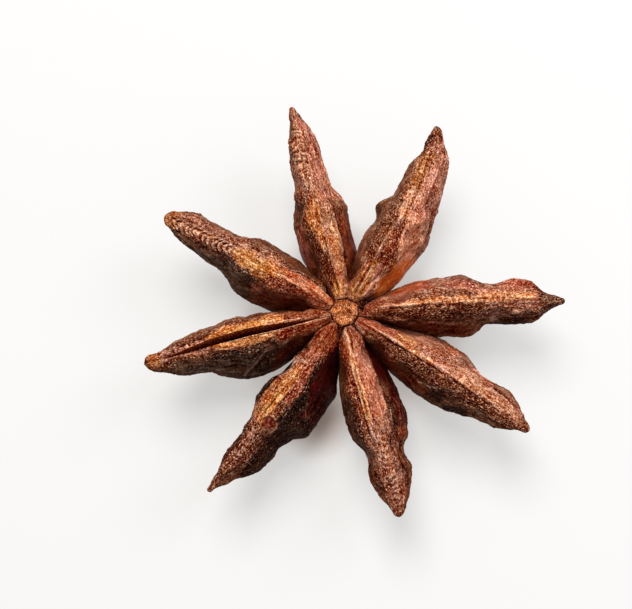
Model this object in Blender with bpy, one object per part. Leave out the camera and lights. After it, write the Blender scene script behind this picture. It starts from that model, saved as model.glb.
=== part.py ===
"""A dried star anise: eight woody pods grown round one short column, lying face up on their keels.

Lengths below are in millimetres and are turned into metres where the meshes are made. The origin is
under the middle of the fruit, on the surface that it lies on, with +Z up. A pod is described from the
column's axis outwards: "along" is the distance from that axis, and offsets to the pod's left, seen from
above and looking outwards, are positive.
"""

import math
from collections import namedtuple

import bmesh
import bpy
import numpy as np

MM = 0.001

# The column that carries the pods, and the stub of the stalk under it.
COLUMN_X = -0.785
COLUMN_Y = -0.34
CAP_RADIUS = 0.95
CAP_HEIGHT = 7.35
CAP_DOME = 0.12
RING_DEPTH = 0.3
CORE_TOP = 6.3
CORE_RADIUS = 1.7
CORE_BOTTOM = 1.7
STALK_RADIUS = 0.85
STALK_BOTTOM = 0.6
COLUMN_SIDES = 32

# Every pod, from its root on the column to its beak.
ROOT_ALONG = 1.04
ROOT_HALF_WIDTH = 0.5
ROOT_CREST = 7.25
ROOT_KEEL = 2.2
ROOT_FROM, ROOT_TO = 1.8, 3.8
LIP_HALF_WIDTH = 0.28
SUTURE_GROOVE = 0.14
BEAK_START = 0.86
POD_STATIONS = 25
TIP_STATIONS = (0.6, 0.97)
POD_SIDES = 20

# The cross-section from the suture, over the flat band beside it and the belly, to the keel: the share
# of the pod's depth and the share of its half-width, at even steps.
SECTION = (
    (0.0, 0.0),
    (0.004, 0.12),
    (0.03, 0.32),
    (0.08, 0.50),
    (0.18, 0.60),
    (0.31, 0.74),
    (0.46, 0.93),
    (0.61, 1.0),
    (0.78, 0.87),
    (0.93, 0.51),
    (1.0, 0.0),
)
# Near the column a pod is as broad at its top as lower down.
ROOT_WIDTHS = (0.0, 0.24, 0.54, 0.76, 0.85, 0.92, 0.98, 1.0, 0.87, 0.51, 0.0)
BELLY_WAY, BELLY_DEPTH = 0.7, 0.6
KEEL_SWING = 0.5

# Dents and swellings that drying left on the flanks and along the suture: (size, length, slant).
FLANK_WAVES = ((0.13, 3.3, 0.8), (0.08, 2.1, -1.2))
CREST_WAVE = (0.07, 2.6)

# The pod that has split open along its suture, its hollow, and the seed in it.
SPLIT_POD = "west"
SLIT_HALF_WIDTH = 0.28
SLIT_END_HALF_WIDTH = 0.03
SLIT_FROM, SLIT_TO = 2.0, 13.6
SLIT_ROUNDNESS = 0.9
SLIT_LEAN = 0.35
SLIT_STATIONS = 19
HOLLOW_ALONG, HOLLOW_ACROSS, HOLLOW_HEIGHT = 7.6, 0.1, 4.1
HOLLOW_RADII = (3.9, 1.4, 2.6)
SEED_HEIGHT = 3.95
SEED_RADII = (3.2, 1.0, 2.15)
SEED_NARROWING = 0.2
EGG_STATIONS, EGG_SIDES = 18, 16

SLAB_HALF, SLAB_DEPTH = 30.0, 3.0

HUSK_BROWN = (0.165, 0.055, 0.024, 1.0)
SEED_BROWN = (0.09, 0.025, 0.008, 1.0)

# azimuth is in degrees from +X towards +Y. crest is the suture's height at mid-length, beak the height
# of the tip's middle, foot the height of the keel's lowest point before the floor trims it, and tip the
# tip's half-width. left, right and suture are points of the outline seen from above, as (along, offset).
Pod = namedtuple("Pod", "azimuth length crest beak foot tip left right suture")
PODS = {
    "north": Pod(
        azimuth=104.2, length=16.0, crest=8.1, beak=6.7, foot=-0.14, tip=0.16,
        left=((3.0, 1.45), (5.0, 1.85), (7.3, 1.95), (8.4, 1.7), (9.6, 1.28), (12.4, 1.05), (15.2, 0.35)),
        right=((3.0, 1.55), (5.0, 2.27), (8.7, 2.25), (10.2, 1.52), (12.8, 1.33), (14.2, 1.1), (15.2, 0.6)),
        suture=((4.3, 0.0), (6.6, 0.2), (11.0, 0.25), (14.2, 0.1)),
    ),
    "north_east": Pod(
        azimuth=63.4, length=15.65, crest=8.2, beak=6.8, foot=0.25, tip=0.3,
        left=((3.0, 1.1), (6.3, 1.5), (7.8, 1.18), (8.9, 1.58), (10.0, 0.8), (12.4, 0.65), (13.7, 0.18)),
        right=((2.5, 1.7), (5.0, 2.6), (8.1, 3.12), (9.6, 2.78), (12.7, 2.27), (13.8, 1.85), (14.9, 0.82)),
        suture=((4.3, -0.4), (6.5, -0.55), (8.8, -0.85), (11.0, -0.75), (13.4, -0.4)),
    ),
    "east": Pod(
        azimuth=3.3, length=16.25, crest=8.0, beak=6.5, foot=0.2, tip=0.16,
        left=((2.7, 1.55), (6.1, 2.63), (8.9, 2.8), (11.2, 1.87), (12.6, 2.1), (14.0, 1.72), (15.2, 0.6)),
        right=((3.1, 0.85), (6.1, 1.65), (9.1, 1.87), (10.7, 1.08), (12.3, 1.27), (13.8, 1.3), (15.1, 0.58)),
        suture=((4.4, 0.0), (7.3, 0.25), (10.2, 0.35), (13.1, 0.15)),
    ),
    "south_east": Pod(
        azimuth=-32.7, length=15.95, crest=8.0, beak=6.5, foot=-0.14, tip=0.24,
        left=((2.8, 1.35), (6.5, 2.7), (8.9, 2.68), (9.9, 2.3), (11.2, 1.92), (13.0, 1.92), (14.7, 1.1)),
        right=((2.8, 0.95), (5.8, 1.63), (8.6, 1.83), (10.9, 1.48), (12.2, 1.18), (14.0, 1.0), (15.2, 0.48)),
        suture=((4.4, -0.1), (7.3, 0.05), (13.0, 0.0)),
    ),
    "south": Pod(
        azimuth=-75.0, length=15.35, crest=7.9, beak=6.4, foot=0.3, tip=0.28,
        left=((2.5, 1.5), (5.5, 2.4), (8.1, 2.7), (9.3, 2.45), (10.6, 1.7), (11.9, 1.92), (13.9, 1.2)),
        right=((2.0, 0.95), (5.5, 1.75), (7.6, 1.85), (8.8, 1.7), (10.6, 1.02), (12.1, 1.28), (13.2, 1.06)),
        suture=((4.4, -0.35), (7.3, -0.4), (10.2, -0.1)),
    ),
    "south_west": Pod(
        azimuth=-127.4, length=16.35, crest=7.8, beak=6.2, foot=-0.14, tip=0.16,
        left=((3.4, 2.2), (5.0, 2.9), (8.5, 3.2), (9.5, 2.42), (11.0, 2.02), (12.7, 2.0), (14.5, 0.9)),
        right=((2.6, 1.0), (5.6, 1.12), (8.5, 1.6), (9.7, 0.97), (10.8, 0.64), (12.4, 0.74), (15.7, 0.25)),
        suture=((4.4, 0.1), (7.3, -0.08), (8.8, -0.15), (10.9, 0.05)),
    ),
    "west": Pod(
        azimuth=-165.8, length=15.1, crest=7.9, beak=6.6, foot=0.15, tip=0.5,
        left=((2.8, 1.3), (5.8, 2.4), (7.7, 2.63), (9.1, 2.27), (11.0, 1.5), (12.4, 1.35), (14.3, 0.86)),
        right=((2.8, 1.3), (4.5, 1.72), (5.8, 1.88), (8.1, 1.97), (11.1, 1.62), (12.2, 1.38), (14.0, 0.62)),
        suture=((4.4, -0.08), (7.0, -0.2), (9.0, -0.2), (11.0, -0.08), (13.0, 0.05)),
    ),
    "north_west": Pod(
        azimuth=151.4, length=15.1, crest=8.1, beak=6.8, foot=0.3, tip=0.45,
        left=((3.2, 1.3), (4.7, 2.0), (6.6, 2.25), (8.0, 2.2), (9.5, 1.42), (11.3, 1.2), (13.1, 1.05)),
        right=((3.2, 1.7), (5.0, 2.2), (8.0, 2.38), (9.1, 1.92), (10.0, 1.62), (13.2, 1.5)),
        suture=((4.3, -0.25), (7.3, -0.1), (10.2, -0.15), (13.0, -0.1)),
    ),
}


def smooth_curve(points):
    """A function that runs smoothly through (x, y) points and never overshoots them."""
    x, y = np.array(points, float).T
    step = np.diff(x)
    slope = np.diff(y) / step
    before, after = slope[:-1], slope[1:]
    same_way = before * after > 0
    inner = np.where(same_way, 2 * before * after / np.where(same_way, before + after, 1), 0)
    tangent = np.concatenate([slope[:1], inner, slope[-1:]])

    def value(at):
        at = np.clip(at, x[0], x[-1])
        i = np.clip(np.searchsorted(x, at, side="right") - 1, 0, len(x) - 2)
        u = (at - x[i]) / step[i]
        start = y[i] * (1 + 2 * u) * (1 - u) ** 2 + step[i] * tangent[i] * u * (1 - u) ** 2
        end = y[i + 1] * u**2 * (3 - 2 * u) + step[i] * tangent[i + 1] * u**2 * (u - 1)
        return start + end

    return value


def ease(low, high, value):
    """0 below low, 1 above high, and smooth between them."""
    t = np.clip((value - low) / (high - low), 0, 1)
    return t * t * (3 - 2 * t)


def crest_curve(pod):
    """The height of a pod's suture along it."""
    span = pod.length
    return smooth_curve((
        (ROOT_ALONG, ROOT_CREST),
        (0.27 * span, ROOT_CREST + 0.75 * (pod.crest - ROOT_CREST)),
        (0.5 * span, pod.crest),
        (0.75 * span, 0.55 * pod.crest + 0.45 * (pod.beak + 0.6)),
        (0.93 * span, pod.beak + 0.55),
        (span, pod.beak + 0.8 * pod.tip),
    ))


def keel_curve(pod):
    """The height of a pod's lower edge along it."""
    span = pod.length
    return smooth_curve((
        (ROOT_ALONG, ROOT_KEEL),
        (0.25 * span, pod.foot + 0.5),
        (0.43 * span, pod.foot),
        (0.60 * span, pod.foot + 0.75),
        (0.72 * span, pod.foot + 2.1),
        (0.84 * span, 0.35 * pod.foot + 0.65 * (pod.beak - 1.0)),
        (0.95 * span, pod.beak - 0.75),
        (span, pod.beak - 0.8 * pod.tip),
    ))


def outline_curve(pod, points):
    """The distance of a pod's left or right outline from its line, along it."""
    return smooth_curve(((ROOT_ALONG, ROOT_HALF_WIDTH), *points, (pod.length, pod.tip)))


def suture_curve(pod):
    return smooth_curve(((ROOT_ALONG, 0.0), *pod.suture, (pod.length, 0.0)))


def place(pod, along, across):
    """The x and y of a point given along and across a pod."""
    angle = math.radians(pod.azimuth)
    x = COLUMN_X + along * math.cos(angle) - across * math.sin(angle)
    y = COLUMN_Y + along * math.sin(angle) + across * math.cos(angle)
    return x, y


def pod_ring(pod, along):
    """One ring of a pod's skin. It starts at the suture, goes down the left flank to the keel, and
    comes up the right flank."""
    way = np.arange(POD_SIDES) / POD_SIDES
    on_left = way <= 0.5
    side = np.where(on_left, 1, -1)
    down = np.where(on_left, 2 * way, 2 - 2 * way)
    steps = np.linspace(0, 1, len(SECTION))
    section_depth, section_width = np.array(SECTION).T
    root = 1 - ease(ROOT_FROM, ROOT_TO, along)
    section_width = (1 - root) * section_width + root * np.array(ROOT_WIDTHS)
    # The beak is round, and the rest of the pod has the boat's section.
    beak = np.clip((along / pod.length - BEAK_START) / (1 - BEAK_START), 0, 1)
    depth = (1 - beak) * np.interp(down, steps, section_depth) + beak * (1 - np.cos(math.pi * down)) / 2
    width = (1 - beak) * np.interp(down, steps, section_width) + beak * np.sin(math.pi * down)

    # The very tip closes as a dome.
    dome = np.clip((along - pod.length + pod.tip) / pod.tip, 0, 1)
    close = math.sqrt(1 - dome**2)
    left = outline_curve(pod, pod.left)(along)
    right = outline_curve(pod, pod.right)(along)
    middle, half_width = (left - right) / 2, close * (left + right) / 2
    crest, keel = crest_curve(pod)(along), keel_curve(pod)(along)
    centre, half_depth = (crest + keel) / 2, close * (crest - keel) / 2

    # The upper part leans to the suture, and the keel swings the other way.
    lean = np.where(
        depth < BELLY_DEPTH,
        1 - depth / BELLY_DEPTH,
        -KEEL_SWING * (depth - BELLY_DEPTH) / (1 - BELLY_DEPTH),
    )
    suture = suture_curve(pod)(along)
    across = middle + lean * (suture - middle) + side * half_width * width
    height = centre + half_depth * (1 - 2 * depth)

    # Shallow waves stand for the dents of drying, and a groove runs between the suture's lips.
    calm = (1 - beak) * min(1, (along - ROOT_ALONG) / 2)
    start = math.radians(pod.azimuth)
    hump = np.where(down < BELLY_WAY, down / BELLY_WAY, (down - BELLY_WAY) / (1 - BELLY_WAY))
    for count, (size, length, slant) in enumerate(FLANK_WAVES, 3):
        turn = 2 * math.pi * (along / length + slant * down) + count * start + side
        across = across + side * calm * size * np.sin(math.pi * hump) ** 2 * np.sin(turn)
    size, length = CREST_WAVE
    height = height + calm * size * math.sin(2 * math.pi * along / length + start) * (1 - depth)
    groove = np.clip(1 - np.abs(across - suture) / LIP_HALF_WIDTH, 0, 1)
    height = height - (1 - beak) * SUTURE_GROOVE * np.where(down < 0.5, groove, 0)
    return np.stack([*place(pod, along, across), height], -1)


def tube_mesh(name, rings):
    """A closed mesh through rings of points in millimetres, all with the same number of points."""
    count, sides = len(rings), len(rings[0])
    faces = [tuple(range(sides)), tuple(range((count - 1) * sides, count * sides))]
    for i in range(0, (count - 1) * sides, sides):
        for j in range(sides):
            k = (j + 1) % sides
            faces.append((i + j, i + k, i + sides + k, i + sides + j))
    mesh = bpy.data.meshes.new(name)
    mesh.from_pydata((np.concatenate(rings) * MM).tolist(), [], faces)
    outward = bmesh.new()
    outward.from_mesh(mesh)
    bmesh.ops.recalc_face_normals(outward, faces=outward.faces)
    outward.to_mesh(mesh)
    outward.free()
    return mesh


def add_object(name, rings, collection):
    obj = bpy.data.objects.new(name, tube_mesh(name, rings))
    collection.objects.link(obj)
    return obj


def column_rings():
    """The column: the cap between the pods, the narrow crack round it, the core that the pods grow from,
    and the stub of the stalk. It is flat against each pod's root and comes out to a blunt corner between
    the pods."""
    crack = CAP_HEIGHT - RING_DEPTH
    profile = (
        (0.25 * CAP_RADIUS, CAP_HEIGHT),
        (0.75 * CAP_RADIUS, CAP_HEIGHT - 0.3 * CAP_DOME),
        (CAP_RADIUS, CAP_HEIGHT - CAP_DOME),
        (0.97 * CAP_RADIUS, crack),
        (1.2 * CAP_RADIUS, crack - 0.1),
        (CORE_RADIUS, CORE_TOP),
        (CORE_RADIUS, CORE_BOTTOM + 0.4),
        (1.25 * STALK_RADIUS, CORE_BOTTOM),
        (STALK_RADIUS, CORE_BOTTOM - 0.35),
        (0.95 * STALK_RADIUS, STALK_BOTTOM),
    )
    turn = np.linspace(0, 2 * math.pi, COLUMN_SIDES, endpoint=False)
    azimuths = np.radians([pod.azimuth for pod in PODS.values()])
    off_pod = np.abs((turn[:, None] - azimuths + math.pi) % (2 * math.pi) - math.pi).min(-1)
    east, north = np.cos(turn) / np.cos(off_pod), np.sin(turn) / np.cos(off_pod)
    return [
        np.stack([COLUMN_X + r * east, COLUMN_Y + r * north, np.full(COLUMN_SIDES, z)], -1)
        for r, z in profile
    ]


def pod_rings(pod):
    body = np.linspace(ROOT_ALONG, pod.length - pod.tip, POD_STATIONS)
    tip = [pod.length - pod.tip * (1 - share) for share in TIP_STATIONS]
    return [pod_ring(pod, along) for along in (*body, *tip)]


def slit_rings(pod):
    """The cutter for the split suture: a thin lens that follows the suture, from above it down into the
    hollow, and leans to the left on the way."""
    rings = []
    for share in np.linspace(0, 1, SLIT_STATIONS):
        along = SLIT_FROM + share * (SLIT_TO - SLIT_FROM)
        swell = math.sin(math.pi * share)
        top_half = SLIT_END_HALF_WIDTH + SLIT_HALF_WIDTH * swell**SLIT_ROUNDNESS
        bottom_half = 0.6 * top_half
        top = crest_curve(pod)(along) + 0.6
        bottom = top - 0.9 - 2.4 * swell**0.7
        line = suture_curve(pod)(along)
        low_line = line + SLIT_LEAN * swell
        corners = (
            (line - top_half, top),
            (line + top_half, top),
            (low_line + bottom_half, bottom),
            (low_line - bottom_half, bottom),
        )
        rings.append(np.array([(*place(pod, along, across), z) for across, z in corners]))
    return rings


def egg_rings(pod, height, radii, narrowing):
    """A flattened egg on edge in the middle of a pod. Its outer end is the narrower one."""
    turn = np.linspace(0, 2 * math.pi, EGG_SIDES, endpoint=False)
    rings = []
    for share in np.linspace(0.03, 0.97, EGG_STATIONS):
        reach = -math.cos(math.pi * share)
        swell = math.sin(math.pi * share) * (1 - narrowing * reach)
        across = HOLLOW_ACROSS + radii[1] * swell * np.cos(turn)
        x, y = place(pod, HOLLOW_ALONG + radii[0] * reach, across)
        rings.append(np.stack([x, y, height + radii[2] * swell * np.sin(turn)], -1))
    return rings


def slab_rings():
    """What trims the lowest keels to small flats: a slab whose top is the surface under the fruit."""
    corners = ((-1, -1), (1, -1), (1, 1), (-1, 1))
    return [
        np.array([(SLAB_HALF * x, SLAB_HALF * y, z) for x, y in corners]) for z in (-SLAB_DEPTH, 0.0)
    ]


def combine(obj, operation, operands):
    """Joins obj with every object of a collection, or cuts it with them, and removes those objects."""
    modifier = obj.modifiers.new(operation.lower(), "BOOLEAN")
    modifier.operation = operation
    modifier.operand_type = "COLLECTION"
    modifier.collection = operands
    modifier.solver = "EXACT"
    graph = bpy.context.evaluated_depsgraph_get()
    graph.update()
    plain, shaped = obj.data, bpy.data.meshes.new_from_object(obj.evaluated_get(graph))
    obj.modifiers.clear()
    obj.data = shaped
    bpy.data.meshes.remove(plain)
    for operand in list(operands.objects):
        bpy.data.objects.remove(operand)
    bpy.data.collections.remove(operands)


def new_collection(name):
    collection = bpy.data.collections.new(name)
    bpy.context.scene.collection.children.link(collection)
    return collection


def finish(obj, material_name, colour, roughness):
    """Gives an object its material and rounds its shading."""
    material = bpy.data.materials.new(material_name)
    material.use_nodes = True
    shader = material.node_tree.nodes["Principled BSDF"]
    shader.inputs["Base Color"].default_value = colour
    shader.inputs["Roughness"].default_value = roughness
    shader.inputs["Metallic"].default_value = 0.0
    obj.data.materials.clear()
    obj.data.materials.append(material)
    obj.data.shade_smooth()
    obj.data.set_sharp_from_angle(angle=math.radians(45))


def main():
    for old in list(bpy.data.objects):
        bpy.data.objects.remove(old)
    scene_objects = bpy.context.scene.collection

    fruit = add_object("fruit", column_rings(), scene_objects)
    pods = new_collection("pods")
    for name, pod in PODS.items():
        add_object(name, pod_rings(pod), pods)
    combine(fruit, "UNION", pods)

    split = PODS[SPLIT_POD]
    cutters = new_collection("cutters")
    add_object("slit", slit_rings(split), cutters)
    add_object("hollow", egg_rings(split, HOLLOW_HEIGHT, HOLLOW_RADII, 0.0), cutters)
    add_object("slab", slab_rings(), cutters)
    combine(fruit, "DIFFERENCE", cutters)

    seed = add_object("seed", egg_rings(split, SEED_HEIGHT, SEED_RADII, SEED_NARROWING), scene_objects)
    finish(fruit, "husk", HUSK_BROWN, 0.75)
    finish(seed, "seed_coat", SEED_BROWN, 0.25)


main()
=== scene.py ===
"""The looks of the dried star anise: the skin of each pod with its wrinkles, grain and colours,
the column's cap and stub, the seed in the split pod, and a soft pale studio.

Lengths are in millimetres, unless a comment says otherwise. A pod is described from the column's
axis outwards: "along" is the distance from that axis, and offsets to the pod's left, seen from
above and looking outwards, are positive.
"""

import math
from collections import namedtuple

import bpy
import numpy as np
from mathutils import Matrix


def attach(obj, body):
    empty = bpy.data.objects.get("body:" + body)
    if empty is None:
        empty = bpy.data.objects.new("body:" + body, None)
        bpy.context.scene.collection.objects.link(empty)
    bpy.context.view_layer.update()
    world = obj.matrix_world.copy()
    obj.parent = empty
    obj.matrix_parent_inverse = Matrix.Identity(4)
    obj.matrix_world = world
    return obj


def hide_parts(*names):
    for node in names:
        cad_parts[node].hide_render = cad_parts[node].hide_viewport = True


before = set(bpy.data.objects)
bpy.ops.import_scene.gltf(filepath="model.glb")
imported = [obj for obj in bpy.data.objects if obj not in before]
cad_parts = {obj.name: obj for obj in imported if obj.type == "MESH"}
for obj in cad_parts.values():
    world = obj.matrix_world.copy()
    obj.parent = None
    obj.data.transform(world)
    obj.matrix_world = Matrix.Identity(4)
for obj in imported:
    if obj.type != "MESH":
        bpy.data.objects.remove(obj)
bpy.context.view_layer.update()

MM = 0.001

# The column and the pods' common sizes, as in the CAD part.
COLUMN_X = -0.785
COLUMN_Y = -0.34
CAP_RADIUS = 0.95
CAP_HEIGHT = 7.35
RING_DEPTH = 0.3
CORE_TOP = 6.3
CORE_RADIUS = 1.7
CORE_BOTTOM = 1.7
STALK_RADIUS = 0.85
STALK_BOTTOM = 0.6
ROOT_ALONG = 1.04
ROOT_HALF_WIDTH = 0.5
ROOT_CREST = 7.25
ROOT_KEEL = 2.2
ROOT_FROM, ROOT_TO = 1.8, 3.8
BEAK_START = 0.86
SECTION = (
    (0.0, 0.0),
    (0.004, 0.12),
    (0.03, 0.32),
    (0.08, 0.50),
    (0.18, 0.60),
    (0.31, 0.74),
    (0.46, 0.93),
    (0.61, 1.0),
    (0.78, 0.87),
    (0.93, 0.51),
    (1.0, 0.0),
)
ROOT_WIDTHS = (0.0, 0.24, 0.54, 0.76, 0.85, 0.92, 0.98, 1.0, 0.87, 0.51, 0.0)
BELLY_WAY, BELLY_DEPTH = 0.7, 0.6
KEEL_SWING = 0.5
FLANK_WAVES = ((0.13, 3.3, 0.8), (0.08, 2.1, -1.2))
CREST_WAVE = (0.07, 2.6)
SPLIT_POD = "west"
SLIT_HALF_WIDTH = 0.28
SLIT_FROM, SLIT_TO = 2.0, 13.6
SLIT_ROUNDNESS = 0.9
SLIT_LEAN = 0.35
HOLLOW_ALONG, HOLLOW_ACROSS, HOLLOW_HEIGHT = 7.6, 0.1, 4.1
HOLLOW_RADII = (3.9, 1.4, 2.6)
SEED_HEIGHT = 3.95
SEED_RADII = (3.2, 1.0, 2.15)
SEED_NARROWING = 0.2

# How fine the skins are. A pod's stations run along it, and half its sides go down each flank,
# closest together beside the suture: (share of the half sides, share of the way to the keel).
STATIONS, DOME_STATIONS, HALF_SIDES = 262, 8, 100
SIDE_SPREAD = ((0.0, 0.0), (0.18, 0.12), (0.36, 0.3), (0.80, 0.64), (1.0, 1.0))
CLOSED_POCKET_SIDES, OPEN_POCKET_SIDES = 3, 20
COLUMN_STEP, COLUMN_SIDES = 0.055, 180
SEED_RINGS, SEED_SIDES = 60, 72

# Random values repeat after this many lumps.
NOISE_CELLS = 64
# A light is its screen value to this power.
SCREEN_POWER = 2.2
# How far a patch's edge fades, and how far the smooth patch's does.
PATCH_SOFTNESS, CALM_SOFTNESS = 0.09, 0.15
# The skin lies this much lower than its wrinkles' own zero.
SINK = 0.04

# How wear with the relief's painted shade and highlight, a change of hue and an ashen bloom
# change a skin's red, green and blue.
WEAR_AND_SHADE_STEP = np.array([1, 0.94, 0.83])
HUE_STEP = np.array([0, 0.2, 0.38])
ASHEN_STEP = np.array([0.015, 0.025, 0.032])
# The painted screen colour is multiplied and then lessened, so that dark parts are redder.
DARK_GAIN, DARK_LOSS = (1.06, 1.21, 1.30), (0.045, 0.085, 0.096)
# The darkest that the grain makes a skin, as a screen value in each channel.
LEAST_LIGHT = (0.03, 0.01, 0.01)

# The shader's grain sees a pod shortened by this factor, so the grain itself is longer that way.
GRAIN_STRETCH = 0.6
GRAIN_SIZE, CELL_SIZE, THREAD_SIZE, FLECK_SIZE = 0.075, 0.14, 0.4, 0.16
GRAIN_ROUGHNESS = 0.65
BUMP_SIZE, BUMP_HEIGHT = 0.13, 0.04
# A skin has less grain from no gloss up to this much, and is shinier above it.
CALM_GLOSS = 0.35
SEED_CLOUD, SEED_ROUGHNESS, SEED_COAT = 0.8, 0.22, 0.4

# The sheet of paper: its half width in metres, its own colour and its glow in the open and in the
# fruit's painted shade, how far that painted shade reaches, and where, how wide and how dark the
# painted shadow beside the south pod is.
PAPER_HALF, PAPER_ROUGHNESS, PAPER_SPECULAR = 0.6, 0.9, 0.1
PAPER_OPEN, PAPER_SHADED = (0.27, 0.27, 0.27, 1), (0.27, 0.225, 0.20, 1)
GLOW_OPEN, GLOW_SHADED = (1.0, 0.985, 0.96, 1), (1.0, 0.76, 0.62, 1)
GLOW_STRENGTH = 0.53
SHADE_REACH = 3
SHADOW_SPOT_PLACE = (COLUMN_X - 2.0, COLUMN_Y - 7.3)
SHADOW_SPOT_FROM, SHADOW_SPOT_TO, SHADOW_SPOT_LIGHT = 0.3, 3.6, 0.3

# Each light: name, place in metres, power in watts, size in metres and colour.
LIGHTS = (
    ("key", (-0.05, 0.17, 0.32), 1.55, 0.20, (1.0, 0.98, 0.95)),
    ("fill", (0.10, 0.06, 0.12), 0.13, 0.10, (0.92, 0.96, 1.0)),
)
WORLD_COLOUR, WORLD_STRENGTH = (0.96, 0.97, 1.0, 1), 0.45

# The camera's height over the surface in degrees, its distance from the place that it looks at,
# and the nearest distance that it shows, in metres.
CAMERA_ELEVATION, CAMERA_DISTANCE = 82.0, 131.67
CAMERA_TARGET = (COLUMN_X - 2.08, COLUMN_Y + 1.06, 3.75)
CAMERA_LENS, CAMERA_SENSOR = 100, 36
CAMERA_CLIP = 0.01

Pod = namedtuple("Pod", "azimuth length crest beak foot tip left right suture")
PODS = {"north": Pod(
    azimuth=104.2, length=16, crest=8.1, beak=6.7, foot=-0.14, tip=0.16,
    left=((3, 1.45), (5, 1.85), (7.3, 1.95), (8.4, 1.7), (9.6, 1.28), (12.4, 1.05), (15.2, 0.35)),
    right=((3, 1.55), (5, 2.27), (8.7, 2.25), (10.2, 1.52), (12.8, 1.33), (14.2, 1.1),
           (15.2, 0.6)),
    suture=((4.3, 0), (6.6, 0.2), (11, 0.25), (14.2, 0.1)),
), "north_east": Pod(
    azimuth=63.4, length=15.65, crest=8.2, beak=6.8, foot=0.25, tip=0.3,
    left=((3, 1.1), (6.3, 1.5), (7.8, 1.18), (8.9, 1.58), (10, 0.8), (12.4, 0.65), (13.7, 0.18)),
    right=((2.5, 1.7), (5, 2.6), (8.1, 3.12), (9.6, 2.78), (12.7, 2.27), (13.8, 1.85),
           (14.9, 0.82)),
    suture=((4.3, -0.4), (6.5, -0.55), (8.8, -0.85), (11, -0.75), (13.4, -0.4)),
), "east": Pod(
    azimuth=3.3, length=16.25, crest=8, beak=6.5, foot=0.2, tip=0.16,
    left=((2.7, 1.55), (6.1, 2.63), (8.9, 2.8), (11.2, 1.87), (12.6, 2.1), (14, 1.72),
          (15.2, 0.6)),
    right=((3.1, 0.85), (6.1, 1.65), (9.1, 1.87), (10.7, 1.08), (12.3, 1.27), (13.8, 1.3),
           (15.1, 0.58)),
    suture=((4.4, 0), (7.3, 0.25), (10.2, 0.35), (13.1, 0.15)),
), "south_east": Pod(
    azimuth=-32.7, length=15.95, crest=8, beak=6.5, foot=-0.14, tip=0.24,
    left=((2.8, 1.35), (6.5, 2.7), (8.9, 2.68), (9.9, 2.3), (11.2, 1.92), (13, 1.92), (14.7, 1.1)),
    right=((2.8, 0.95), (5.8, 1.63), (8.6, 1.83), (10.9, 1.48), (12.2, 1.18), (14, 1),
           (15.2, 0.48)),
    suture=((4.4, -0.1), (7.3, 0.05), (13, 0)),
), "south": Pod(
    azimuth=-75, length=15.35, crest=7.9, beak=6.4, foot=0.3, tip=0.28,
    left=((2.5, 1.5), (5.5, 2.4), (8.1, 2.7), (9.3, 2.45), (10.6, 1.7), (11.9, 1.92), (13.9, 1.2)),
    right=((2, 0.95), (5.5, 1.75), (7.6, 1.85), (8.8, 1.7), (10.6, 1.02), (12.1, 1.28),
           (13.2, 1.06)),
    suture=((4.4, -0.35), (7.3, -0.4), (10.2, -0.1)),
), "south_west": Pod(
    azimuth=-127.4, length=16.35, crest=7.8, beak=6.2, foot=-0.14, tip=0.16,
    left=((3.4, 2.2), (5, 2.9), (8.5, 3.2), (9.5, 2.42), (11, 2.02), (12.7, 2), (14.5, 0.9)),
    right=((2.6, 1), (5.6, 1.12), (8.5, 1.6), (9.7, 0.97), (10.8, 0.64), (12.4, 0.74),
           (15.7, 0.25)),
    suture=((4.4, 0.1), (7.3, -0.08), (8.8, -0.15), (10.9, 0.05)),
), "west": Pod(
    azimuth=-165.8, length=15.1, crest=7.9, beak=6.6, foot=0.15, tip=0.5,
    left=((2.8, 1.3), (5.8, 2.4), (7.7, 2.63), (9.1, 2.27), (11, 1.5), (12.4, 1.35), (14.3, 0.86)),
    right=((2.8, 1.3), (4.5, 1.72), (5.8, 1.88), (8.1, 1.97), (11.1, 1.62), (12.2, 1.38),
           (14, 0.62)),
    suture=((4.4, -0.08), (7, -0.2), (9, -0.2), (11, -0.08), (13, 0.05)),
), "north_west": Pod(
    azimuth=151.4, length=15.1, crest=8.1, beak=6.8, foot=0.3, tip=0.45,
    left=((3.2, 1.3), (4.7, 2), (6.6, 2.25), (8, 2.2), (9.5, 1.42), (11.3, 1.2), (13.1, 1.05)),
    right=((3.2, 1.7), (5, 2.2), (8, 2.38), (9.1, 1.92), (10, 1.62), (13.2, 1.5)),
    suture=((4.3, -0.25), (7.3, -0.1), (10.2, -0.15), (13, -0.1)),
)}

# Colours as they look on a screen, from 0 to 1.
PALETTE = {
    "tan": (0.61, 0.395, 0.295),
    "gold": (0.652, 0.397, 0.246),
    "straw": (0.69, 0.445, 0.255),
    "pale": (0.69, 0.447, 0.328),
    # A pale colour made lighter, as painted light.
    "lit_cream": (0.80, 0.50, 0.375),
    "orange": (0.52, 0.298, 0.168),
    "pink": (0.637, 0.385, 0.298),
    "salmon": (0.655, 0.37, 0.255),
    "ash": (0.55, 0.355, 0.3),
    "mauve": (0.51, 0.316, 0.243),
    "brown": (0.41, 0.244, 0.168),
    "umber": (0.345, 0.19, 0.122),
    "black": (0.185, 0.107, 0.067),
    "moss": (0.31, 0.208, 0.152),
    "rust": (0.453, 0.21, 0.122),
    "red": (0.555, 0.297, 0.226),
    "ember": (0.755, 0.385, 0.19),
    "wine": (0.38, 0.13, 0.09),
    # A dark maroon, partly the skin's own and partly painted shade.
    "port_with_shade": (0.28, 0.055, 0.03),
    "scar": (0.44, 0.20, 0.14),
    # The crack's walls: painted light, painted dimness and, far inside, painted shade.
    "lit_lip": (0.66, 0.33, 0.17),
    "dim_lip": (0.40, 0.20, 0.10),
    "painted_crack_shade": (0.44, 0.145, 0.10),
    "cap": (0.64, 0.38, 0.245),
    "crack": (0.28, 0.12, 0.07),
    "stub": (0.43, 0.26, 0.17),
    "coat": (0.36, 0.16, 0.08),
    "eye": (0.7, 0.5, 0.3),
}

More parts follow.
